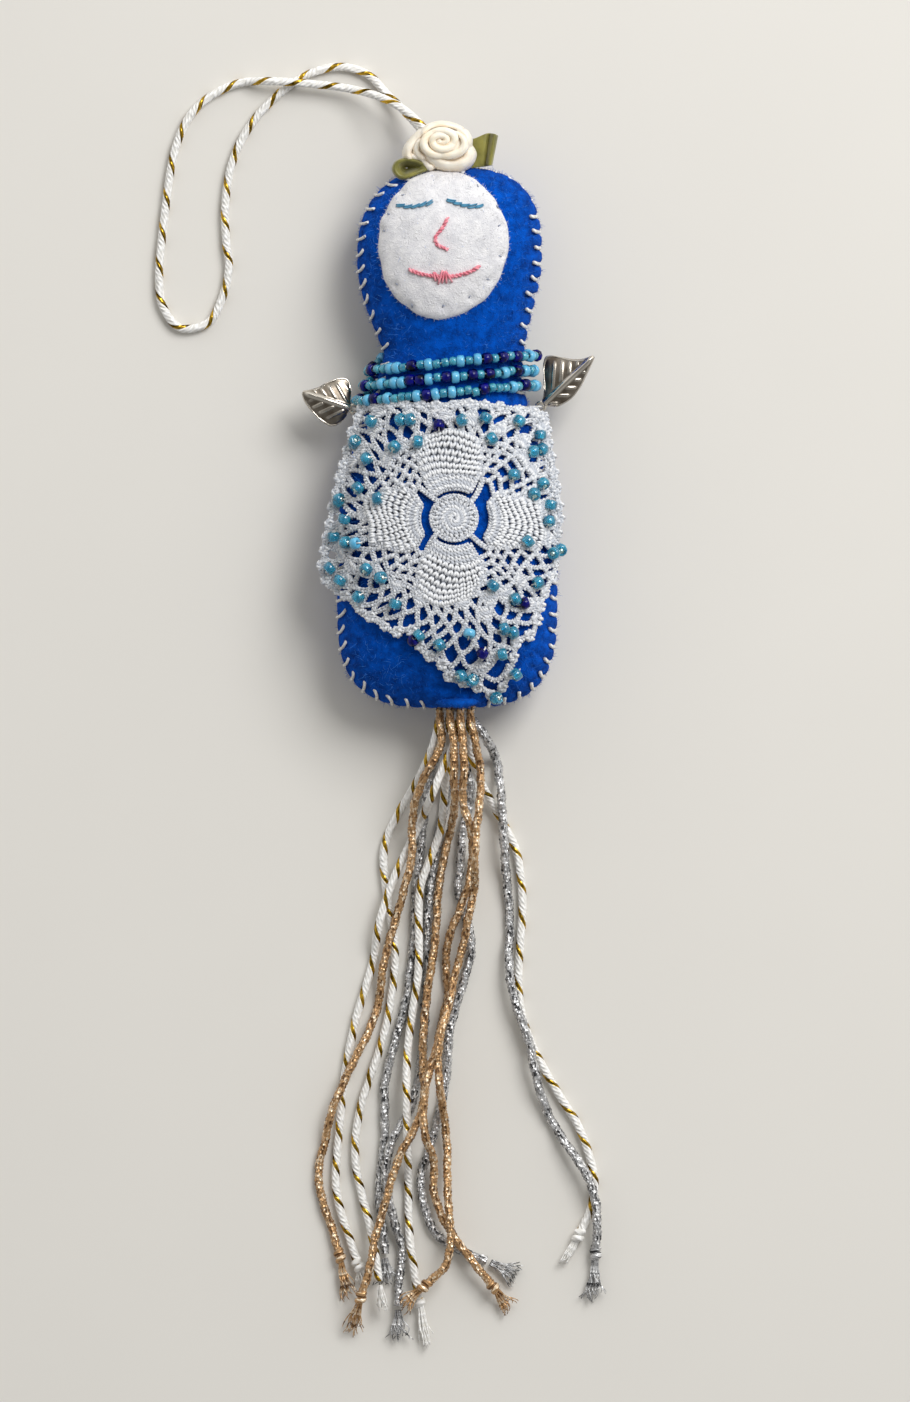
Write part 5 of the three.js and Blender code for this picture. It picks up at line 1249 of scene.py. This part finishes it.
def strandLine(line):
    # Round the neck: sloping in front and level behind, off the felt, and further out over the seam.
    turn = ringOf(bead["lineSides"])
    u = np.cos(turn)
    toFront = smooth(1 + np.sin(turn) / bead["frontReach"])
    sloped = line["left"] + (line["right"] - line["left"]) * np.clip(0.5 + 0.5 * u * 18 / 19, 0, 1)
    y = line["back"] + (sloped - line["back"]) * toFront
    swell = np.where(np.sin(turn) >= 0, swellAt("front", y), -swellAt("back", y)) * swellCurve(np.abs(u))
    skin = joined(u * halfWidth(u, y), y, seamZ + swell)
    along = np.roll(skin, -2, 0) - np.roll(skin, 2, 0)
    out = unit(joined(along[:, 2], 0.0, -along[:, 0]))
    overSeam = smooth(2 - np.abs(skin[:, 2] - seamZ) / (bead["seamHeight"] / 2 + bead["b"]["radius"]))
    path = skin + out * (bead["clear"] + overSeam * bead["seamClear"])[:, None]
    return np.concatenate([path, path[:1]])


for name, line in strands.items():
    path = evenly(strandLine(line), bead["lineStep"])
    whole = lengthAlong(path)[-1]
    order = line["order"] + "".join(rng.choice(list(bead["spare"]), bead["spareCount"]))
    lengths = np.array([bead[k]["length"] + bead["gap"] for k in order])
    ends = np.cumsum(lengths)
    fits = ends < whole
    order, ends, lengths = order[:fits.sum()], ends[fits], lengths[fits]
    places = (ends - lengths / 2) * (whole / ends[-1])
    centres = pointsAt(path, places)
    wobble = rng.normal(0, bead["stray"], centres.shape) * bead["strayWays"]
    ahead, behind = (pointsAt(path, places + way * bead["near"]) for way in (1, -1))
    axes = ahead - behind + rng.normal(0, bead["tilt"], centres.shape)
    ring = np.concatenate([path[:-1], path[:1]])
    parts = beadParts(centres + wobble, axes, order, yUp)
    parts.append(tube(ring, bead["thread"], 5, up=yUp, slot=bead["threadSlot"]))
    putPiece("seed_beads_" + name, "seed_beads", parts, glassSkins, ["bead_strand_" + name])
print("beads strung")

# Leaf charms: stamped metal plates with a midrib, slanting side ribs and a rolled rim. Each side of the
# midrib has its own half width along the leaf: broad near the stem, hollowed towards a drawn-out tip.
charm = dict(
    left_leaf=dict(seat=(-22.52, 6.95), tip=(-34.8, 10.9), curl=0.6,
                   upper=[(0, 0.35), (0.05, 2.0), (0.1, 4.2), (0.17, 5.9), (0.26, 6.4), (0.36, 6.1),
                          (0.47, 5.3), (0.6, 3.9), (0.72, 2.2), (0.86, 1.0), (1, 0.1)],
                   lower=[(0, 0.35), (0.06, 3.2), (0.16, 5.2), (0.28, 5.7), (0.45, 5.2), (0.63, 4.2),
                          (0.8, 2.9), (0.92, 1.5), (1, 0.1)]),
    right_leaf=dict(seat=(22.23, 7.51), tip=(34.9, 19.5), curl=1.6,
                    upper=[(0, 0.35), (0.1, 1.5), (0.25, 4.5), (0.4, 7.1), (0.49, 7.8), (0.57, 7.0),
                           (0.66, 4.9), (0.76, 2.6), (0.88, 0.9), (1, 0.1)],
                    lower=[(0, 0.35), (0.06, 1.6), (0.18, 3.2), (0.35, 3.7), (0.52, 3.3), (0.7, 2.2),
                           (0.84, 1.2), (1, 0.1)]),
    z=11.0, thickness=0.6, bow=1.0, cup=1.8, cupWidth=6, curlFrom=(0.55, 0.45), midrib=0.45,
    midribWidth=0.45, rib=0.22, ribPitch=2.7, ribSlope=1.1, rim=0.35, eyelet=1.0, wire=0.4,
    eyeletPolish=0.45, curlPower=1.5, ribFrom=(0.7, 0.5), ribOut=(0.8, 0.15), ribTip=(0.85, 0.1),
    midribEnd=0.15, rimFrom=(0.9, 0.1), hoopSides=24, wireSides=8, tieStep=0.3,
    tieRadius=0.22,                            # the tie: how far in from the eyelet, and its height
    tie=[(3.2, 12.0), (2.0, 12.6), (0.6, 12.3), (-0.1, 11.4), (0.1, 10.3), (1.0, 9.15), (2.2, 9.1),
         (3.2, 9.8)])


def leafCharm(leaf):
    seat, tip = np.array(leaf["seat"]), np.array(leaf["tip"])
    heading = unit(tip - seat)
    side = np.array([-heading[1], heading[0]]) * np.sign(heading[0])
    start = charm["eyelet"] + charm["wire"] / 3
    length = np.linalg.norm(tip - seat) - start
    s, v = np.meshgrid(np.linspace(0, 1, 90), np.linspace(-1, 1, 61), indexing="ij")
    upper, lower = (curveThrough(np.array(leaf[k], float), 12) for k in ("upper", "lower"))
    half = np.where(v > 0, np.interp(s, *upper.T), np.interp(s, *lower.T))
    across = v * half
    along = start + s * length
    bend = leaf["curl"] * ramp(s, *charm["curlFrom"]) ** charm["curlPower"]
    ribTurn = tau * (s * length - charm["ribSlope"] * np.abs(across)) / charm["ribPitch"]
    rib = np.clip(np.cos(ribTurn), 0, 1) ** 3
    window = ramp(np.abs(across), *charm["ribFrom"]) * fade(np.abs(v), *charm["ribOut"])
    window = window * fade(s, *charm["ribTip"])          # ribs end short of the midrib, the rim and the tip
    midrib = charm["midrib"] * np.exp(-(across / charm["midribWidth"]) ** 2) * fade(s, 1, charm["midribEnd"])
    relief = midrib + charm["rib"] * rib * window + charm["rim"] * ramp(np.abs(v), *charm["rimFrom"])
    cup = charm["cup"] * v ** 2 * half / charm["cupWidth"]
    z = charm["z"] + charm["bow"] * np.sin(np.pi * s) - cup + bend + relief
    flat = seat + along[..., None] * heading + across[..., None] * side
    turned = slice(None, None, -1 if heading[0] > 0 else 1)
    plate = slab(withHeight(flat, z)[:, turned], charm["thickness"])
    marks = joined(across, s * length, relief)[:, turned].reshape(-1, 3)
    plate["rope"] = np.concatenate([marks, marks])
    turn, small = ringOf(charm["hoopSides"])[:, None], ringOf(charm["wireSides"])[:, None]
    spoke = np.concatenate([np.cos(turn) * heading + np.sin(turn) * side, 0 * turn], -1)
    hoop = np.append(seat, charm["z"]) + charm["eyelet"] * spoke
    wire = np.cos(small) * spoke[:, None] + np.sin(small) * np.array(zUp)
    wireRing = (hoop[:, None] + charm["wire"] * wire).reshape(-1, 3)
    quads = gridQuads(charm["hoopSides"], charm["wireSides"], True, True)
    eyelet = dict(points=wireRing, faces=[quads[:, ::1 if heading[0] > 0 else -1]], slot=0)
    eyelet["rope"] = np.broadcast_to((0.0, 0.0, charm["eyeletPolish"]), eyelet["points"].shape)
    return [plate, eyelet]


for name in ("left_leaf", "right_leaf"):
    putPiece(name + "_plate", "nickel_silver", leafCharm(charm[name]), [nickelSilver], [name + "_charm"],
             name)
    seat = np.array(charm[name]["seat"])
    inward = np.array((-np.sign(seat[0]), 0.0))
    tieRoute = [np.append(seat + inward * far, z) for far, z in charm["tie"]]
    tie = tube(drawn(tieRoute, 8, charm["tieStep"]), charm["tieRadius"], 6, up=yUp)
    putPiece(name + "_tie", "white_thread", [tie], [cottonThread])
print("charms hung")

# Tassel binding, mostly inside the hem: thread wound round the cords' upper ends, over a core.
binding = dict(half=(4.8, 3.6), length=6.3, out=1.2, pitch=0.62, radius=0.3, perTurn=26, core=0.5,
               coreEnd=0.2, coreSides=32, coreRings=4)


def bindingOval(angle, inset, y):
    x = tasselAt["x"] + (binding["half"][0] - inset) * np.cos(angle)
    return joined(x, y, seamZ + (binding["half"][1] - inset) * np.sin(angle))


turns = binding["length"] / binding["pitch"]
low = hemY - binding["out"]
t = np.linspace(0, 1, int(turns * binding["perTurn"]))
wound = bindingOval(tau * turns * t, binding["radius"],
                    low + binding["radius"] + (binding["length"] - 2 * binding["radius"]) * t)
coreEnds = (low + binding["coreEnd"], low + binding["length"] - binding["coreEnd"])
coreY = np.linspace(*coreEnds, binding["coreRings"])
core = bindingOval(ringOf(binding["coreSides"])[None], binding["core"], coreY[:, None])
coreCaps = ((0, 1), (binding["coreRings"] - 1, -1))
bindingParts = [tube(wound, binding["radius"], 6, up=yUp), ringed(core, flip=True, caps=coreCaps)]
putPiece("wound_binding", "white_thread", bindingParts, [cottonThread], ["tassel_binding"], "tassel")

# Crochet doily, worked in thread: a plait of three strands for every chain, and two twisted together for
# every post and picot. Lifts and scales of posts are by their place.
# Plaited strand = path + side * sin(phase) across + rise * sin(2 phase) outward, a third of a turn apart.
doily = dict(x=1.4, y=-19.4, lift=1.35, back=0.3, backThickness=0.3, strand=0.32, side=0.46, rise=0.5,
             plait=2.1, post=0.29, postTwist=1.7, step=0.37, disc=5.15, discPosts=22, postEnd=11.0,
             posts=13, rowGap=1.35, stitch=1.3, diagonal=48, diagonalEnd=11.6,
             bars=(11.5, 13.7, 15.9, 18.1), barPost=2.3, barWave=0.4, ring=20.0, ringGap=2.9, cells=46,
             shells=0.3, shellPosts=(2, 4, 6, 8, 10), thin=0.92, picot=0.8, picotGap=3.6, pull=0.9,
             pullFrom=(4, 14), postSide=0.75, pitchShare=(0.92, 1.08), postLift=0.15, postUneven=0.06,
             postShare=0.96, edgeShare=1.03, edgeLift=0.05, startLift=-0.1, barTurn=1.5, barUp=2.0,
             postStray=0.2, archPower=0.7, archClear=(0.6, 0.3), shellLift=0.1, picotLift=0.15,
             picotStray=0.5, picotShare=(0.8, 1.25), lean=(-0.08, 0.05), barEnds=(0.04, 0.12),
             scale=dict(disc=1.4, petal=1.25, bar=1.5, shell=1.2, picot=1.5))
postScale = doily["scale"]
outline = [(-20.4, 6.7), (-11.5, 7.6), (-1.9, 7.4), (6.5, 7.9), (14.5, 6.6), (22.2, 5.6), (23.6, -1.5),
           (24.9, -9), (26.4, -18.7), (24.7, -31.1), (21.2, -39.8), (19.7, -46.8), (15.8, -48.7),
           (14.9, -54), (13.4, -58), (11, -61.2), (7.9, -59), (0.7, -57.1), (-1.8, -53), (-5.8, -51.1),
           (-8.6, -45.6), (-12.5, -46.6), (-18.5, -42.4), (-23.3, -37.9), (-28.3, -35.5), (-29.8, -31.7),
           (-28.3, -22.8), (-26.8, -14.9), (-23.3, -2.2)]
closedOutline = np.array(outline + outline[:1], float)
edgeLine = evenly(closedOutline, 0.3) - (doily["x"], doily["y"])
edgeAngle = np.unwrap(np.arctan2(edgeLine[:, 1], edgeLine[:, 0]))
edgeOrder = np.argsort(edgeAngle)
edgeAngle, edgeReach = edgeAngle[edgeOrder], np.linalg.norm(edgeLine, axis=1)[edgeOrder]


def reachAt(angle):
    return np.interp(angle, edgeAngle, edgeReach, period=tau)


def polar(r, angle):
    # Round the doily's middle, pulled a little out of shape as a sewn-down doily is.
    x, y = np.broadcast_arrays(r * np.cos(angle), r * np.sin(angle))
    pull = doily["pull"] * ramp(np.hypot(x, y), *doily["pullFrom"])
    return joined(doily["x"] + x + pull * np.sin(0.42 * y + 0.2 * x),
                  doily["y"] + y + pull * np.sin(0.37 * x - 0.25 * y + 1))


def worked(flat, strands, lift=0.0, scale=1.0):
    flat = evenly(np.asarray(flat, float), doily["step"])
    s = lengthAlong(flat)
    path, out = onFront(flat, doily["lift"] + lift)
    _, across, up = pathFrames(path, out)
    plaited = strands == 3
    pitch = doily["plait" if plaited else "postTwist"] * rng.uniform(*doily["pitchShare"])
    phase = (tau * s / pitch + tau * np.arange(strands)[:, None] / strands + rng.uniform(0, tau))[..., None]
    side = doily["side"] if plaited else doily["postSide"] * doily["post"]
    rise = doily["rise"] * np.sin(2 * phase) if plaited else side * np.cos(phase)
    paths = path + scale * (side * np.sin(phase) * across + rise * up)
    return tube(paths, scale * doily["strand" if plaited else "post"], 5, out)


# Petals: the way from the middle in degrees, both ends, and half widths at five distances out.
petalAt = (6.3, 8.0, 11.0, 13.0, 19.5)
fullPetal, slimPetal = (3.7, 4.8, 6.7, 7.0, 6.0), (2.2, 3.3, 6.0, 6.8, 6.0)
petals = [dict(angle=94, start=7.2, end=20.0, half=fullPetal),
          dict(angle=-4, start=8.5, end=20.0, half=slimPetal),
          dict(angle=266, start=7.2, end=20.0, half=fullPetal),
          dict(angle=182, start=8.1, end=20.0, half=slimPetal)]
vStitch = dict(foot=-0.65, tall=1.35, apart=0.1, open=0.38, lift=0.1, hump=0.5, stray=0.07, uneven=0.06,
               radius=(0.2, 0.33, 0.38, 0.38, 0.34, 0.22))


def petalHalf(petal, r):
    return np.interp(r, petalAt, petal["half"])


def inPetal(petal, r, share):
    return polar(r, np.radians(petal["angle"]) + share * petalHalf(petal, r) / r)


def stitchRows(petal, rows):
    # Rows of V-shaped stitches: the two legs of each part from its foot and hump up in the middle. Every
    # other row lies half a stitch along.
    middle, t, runs = np.radians(petal["angle"]), np.linspace(0, 1, 6), []
    for j, row in enumerate(rows):
        half = petalHalf(petal, row)
        count = int(round(2 * half / doily["stitch"]))
        x = half * (2 * (np.arange(count) + 0.5 + 0.25 * (-1) ** j) / count - 1)[:, None]
        for leg in (-1, 1):
            r = row + vStitch["foot"] + vStitch["tall"] * t + rng.normal(0, vStitch["stray"], (count, 1))
            flat = polar(r, middle + (x + leg * (vStitch["apart"] + vStitch["open"] * t)) / row)
            height = doily["lift"] + vStitch["lift"] + vStitch["hump"] * np.sin(np.pi * t)
            height = height + rng.normal(0, vStitch["uneven"], (count, 1))
            runs.append(onFront(flat, height)[0])
    return tube(np.concatenate(runs), np.array(vStitch["radius"]), 6)


# The disc and the petals, each with a plain ground under it that closes the gaps: a greyer copy of the
# cotton, painted shade for the shadow between the stitches.
dense, net, grounds = [], [], []
turn = np.linspace(0, tau, 90)
dense.append(worked(polar(doily["disc"], turn), 3))
for k in range(doily["discPosts"]):
    spokeR = np.linspace(0.3, doily["disc"] - 0.5, 8)
    dense.append(worked(polar(spokeR, tau * k / doily["discPosts"]), 2, scale=postScale["disc"]))
r, a = np.meshgrid(np.linspace(0.05, doily["disc"], 8), turn, indexing="ij")
grounds.append(polar(r, a))
for petal in petals:
    r = np.linspace(petal["start"], doily["postEnd"], 9)
    for share in np.linspace(-doily["postShare"], doily["postShare"], doily["posts"]):
        lift = doily["postLift"] + rng.normal(0, doily["postUneven"])
        dense.append(worked(inPetal(petal, r, share), 2, lift, postScale["petal"]))
    dense.append(worked(inPetal(petal, petal["start"], np.linspace(-1, 1, 26)), 3, doily["startLift"]))
    rows = np.arange(doily["postEnd"] + 0.5, petal["end"], doily["rowGap"])
    dense.append(stitchRows(petal, rows))
    r = np.linspace(petal["start"], petal["end"], 14)
    for share in (-doily["edgeShare"], doily["edgeShare"]):
        dense.append(worked(inPetal(petal, r, share), 3, doily["edgeLift"]))
    r, share = np.meshgrid(np.linspace(petal["start"], rows[-1], 14), np.linspace(-1, 1, 14), indexing="ij")
    grounds.append(inPetal(petal, r, share))

# Between the petals: a chain out along the diagonal between two open gaps, then bars across with posts.
before, after = (1, 0, 3, 2), (0, 3, 2, 1)      # the petals on either side of each gap
for k in range(4):
    chainR = np.linspace(doily["disc"], doily["diagonalEnd"], 9)
    middle = np.radians(doily["diagonal"] + 90 * k)
    dense.append(worked(polar(chainR, middle + np.linspace(*doily["lean"], 9)), 3))
    for r in doily["bars"]:
        low = np.radians(-4 + 90 * k) + petalHalf(petals[before[k]], r) / r - doily["barEnds"][0]
        high = np.radians(86 + 90 * k) - petalHalf(petals[after[k]], r) / r + doily["barEnds"][1]
        barR = r + doily["barWave"] * np.cos(np.linspace(-1, 1, 16) * np.pi * doily["barTurn"])
        net.append(worked(polar(barR, np.linspace(low, high, 16)), 3, scale=doily["thin"]))
        posts = int(r * (high - low) / doily["barPost"])
        stray = rng.uniform(-doily["postStray"], doily["postStray"], posts)
        for place in (np.arange(posts) + 0.5 + stray) / posts:
            post = polar(np.linspace(r, r + doily["barUp"], 5), low + (high - low) * place)
            net.append(worked(post, 2, scale=postScale["bar"]))

# Outer rounds: a closed chain, then rounds of arches that each stand on the crowns of the arches before,
# and shells of posts that fill some of them; last the edge itself with its picots.
net.append(worked(polar(doily["ring"], turn), 3))
t = np.linspace(0, 1, 13)
for level, r in enumerate(np.arange(doily["ring"], reachAt(turn).max() - 1.0, doily["ringGap"])):
    for cell in range(doily["cells"]):
        a = tau * (cell + 0.5 * level + t) / doily["cells"]
        least, edgeGap = doily["archClear"]
        if reachAt(a).min() < r + least:
            continue
        rise = doily["ringGap"] * np.sin(np.pi * t) ** doily["archPower"]
        arch = np.minimum(r + rise, reachAt(a) - edgeGap)
        net.append(worked(polar(arch, a), 3, scale=doily["thin"]))
        if rng.uniform() < doily["shells"]:
            for k in doily["shellPosts"]:
                spokeAngle = np.linspace(0.6 * a[6] + 0.4 * a[k], a[k], 5)
                post = polar(np.linspace(r - 0.2, arch[k], 5), spokeAngle)
                net.append(worked(post, 2, doily["shellLift"], postScale["shell"]))
edge = evenly(closedOutline, 0.4)
net.append(worked(edge, 3))
knobRing = joined(np.cos(turn[::9]), np.sin(turn[::9]))
for at in np.arange(0, lengthAlong(edge)[-1], doily["picotGap"]):
    spot = pointsAt(edge, at + rng.uniform(-doily["picotStray"], doily["picotStray"]))
    knob = doily["picot"] * rng.uniform(*doily["picotShare"]) * knobRing
    net.append(worked(spot + knob, 2, doily["picotLift"], postScale["picot"]))
print("doily worked:", len(dense), "and", len(net), "runs")

groundParts, groundArea = [], 0.0
for flat in grounds:
    points, _ = onFront(flat, doily["back"])
    groundParts.append(slab(points[:, ::-1], doily["backThickness"]))
    cells = np.cross(np.diff(points, axis=0)[:, :-1], np.diff(points, axis=1)[:-1])
    groundArea += np.linalg.norm(cells, axis=-1).sum()
cotton = "crochet_cotton"
ground = putPiece("doily_ground", cotton, groundParts, [shadeCottonGround], ["doily"])
denseWork = putPiece("doily_petals", cotton, dense, [crochetCotton])
netWork = putPiece("doily_net", cotton, net, [crochetCotton])

# Beads sewn on the doily: place, kind and the way that the hole points in degrees. Each is seated a little
# into the lace and tilted at random, and its thread dips down at both ends.
sewnBeads = [(-16.7, 3.2, "a", 40), (-10.4, 3.7, "a", 5), (-8.4, 3.8, "a", 5), (-2, 2.5, "n", 90),
             (3.1, 3.7, "a", 25), (8.3, 4.2, "a", 60), (15.4, 3.4, "a", 50), (19.8, 0, "a", 80),
             (18.6, -3.9, "a", 10), (20.3, -3.4, "a", 30), (-21.6, -1.7, "a", 0), (-20.2, -1.6, "a", 0),
             (-6.7, -1.5, "a", 0), (9.7, -0.7, "a", 30), (-11.8, -2.7, "a", 70), (-17.9, -5.6, "a", 20),
             (14.6, -9.3, "a", 75), (20.8, -11.5, "a", 80), (19, -13.9, "a", 60), (22.5, -16.4, "a", 80),
             (22.2, -20.3, "a", 70), (-19.9, -12.5, "a", 60), (-15.7, -14.9, "a", 10),
             (-25.4, -15.6, "a", 0), (-23.8, -15.2, "a", 0), (-22.8, -19.8, "a", 70),
             (-25, -23.8, "a", 80), (-22.6, -25.2, "a", 0), (-20.6, -25.4, "b", 5), (17.8, -25, "a", 40),
             (23.2, -27.8, "a", 10), (24.6, -27, "a", 20), (-27.5, -31.3, "a", 45),
             (-23.8, -34.3, "a", 60), (-18.2, -31.6, "a", 70), (-15, -33.6, "a", 0),
             (-19.9, -38.2, "a", 40), (-11.8, -39.9, "a", 70), (10.2, -35.5, "a", 50),
             (20, -34.8, "a", 20), (15.1, -38.7, "a", 20), (17.1, -39.7, "n", 20), (-6.7, -47, "a", 40),
             (-8, -48.1, "n", 40), (-2, -49, "a", 30), (5, -46.5, "b", 80), (12.7, -45.6, "a", 20),
             (14.6, -46.5, "a", 20), (8, -50.9, "n", 60), (12.4, -51.2, "a", 15), (3.1, -55.8, "a", 0),
             (5.8, -56.8, "a", 70), (15.4, -55.6, "a", 30), (11.2, -60.5, "a", 45)]
sewn = dict(seat=0.15, tilt=0.35, threadHalf=1.6, threadDip=0.9, thread=0.2)
spots = np.array([(x, y) for x, y, _, _ in sewnBeads])
letters = [letter for _, _, letter, _ in sewnBeads]
ways = np.radians([way for _, _, _, way in sewnBeads])
height = np.array([bead[k]["radius"] for k in letters]) + doily["lift"] - sewn["seat"]
centres, out = onFront(spots, height)
axes = joined(np.cos(ways), np.sin(ways), 0.0)
tilt = sewn["tilt"] * rng.normal(0, 1, (len(ways), 1))
axes = axes - (axes * out).sum(-1, keepdims=True) * out + tilt * out
t = np.linspace(-1, 1, 5)[None, :, None]
sewing = centres[:, None] + axes[:, None] * sewn["threadHalf"] * t
sewing = sewing - out[:, None] * sewn["threadDip"] * t ** 2
parts = beadParts(centres, axes, letters, zUp) + [tube(sewing, sewn["thread"], 5, slot=bead["threadSlot"])]
putPiece("doily_beads", "seed_beads", parts, glassSkins)
print("beads sewn on")
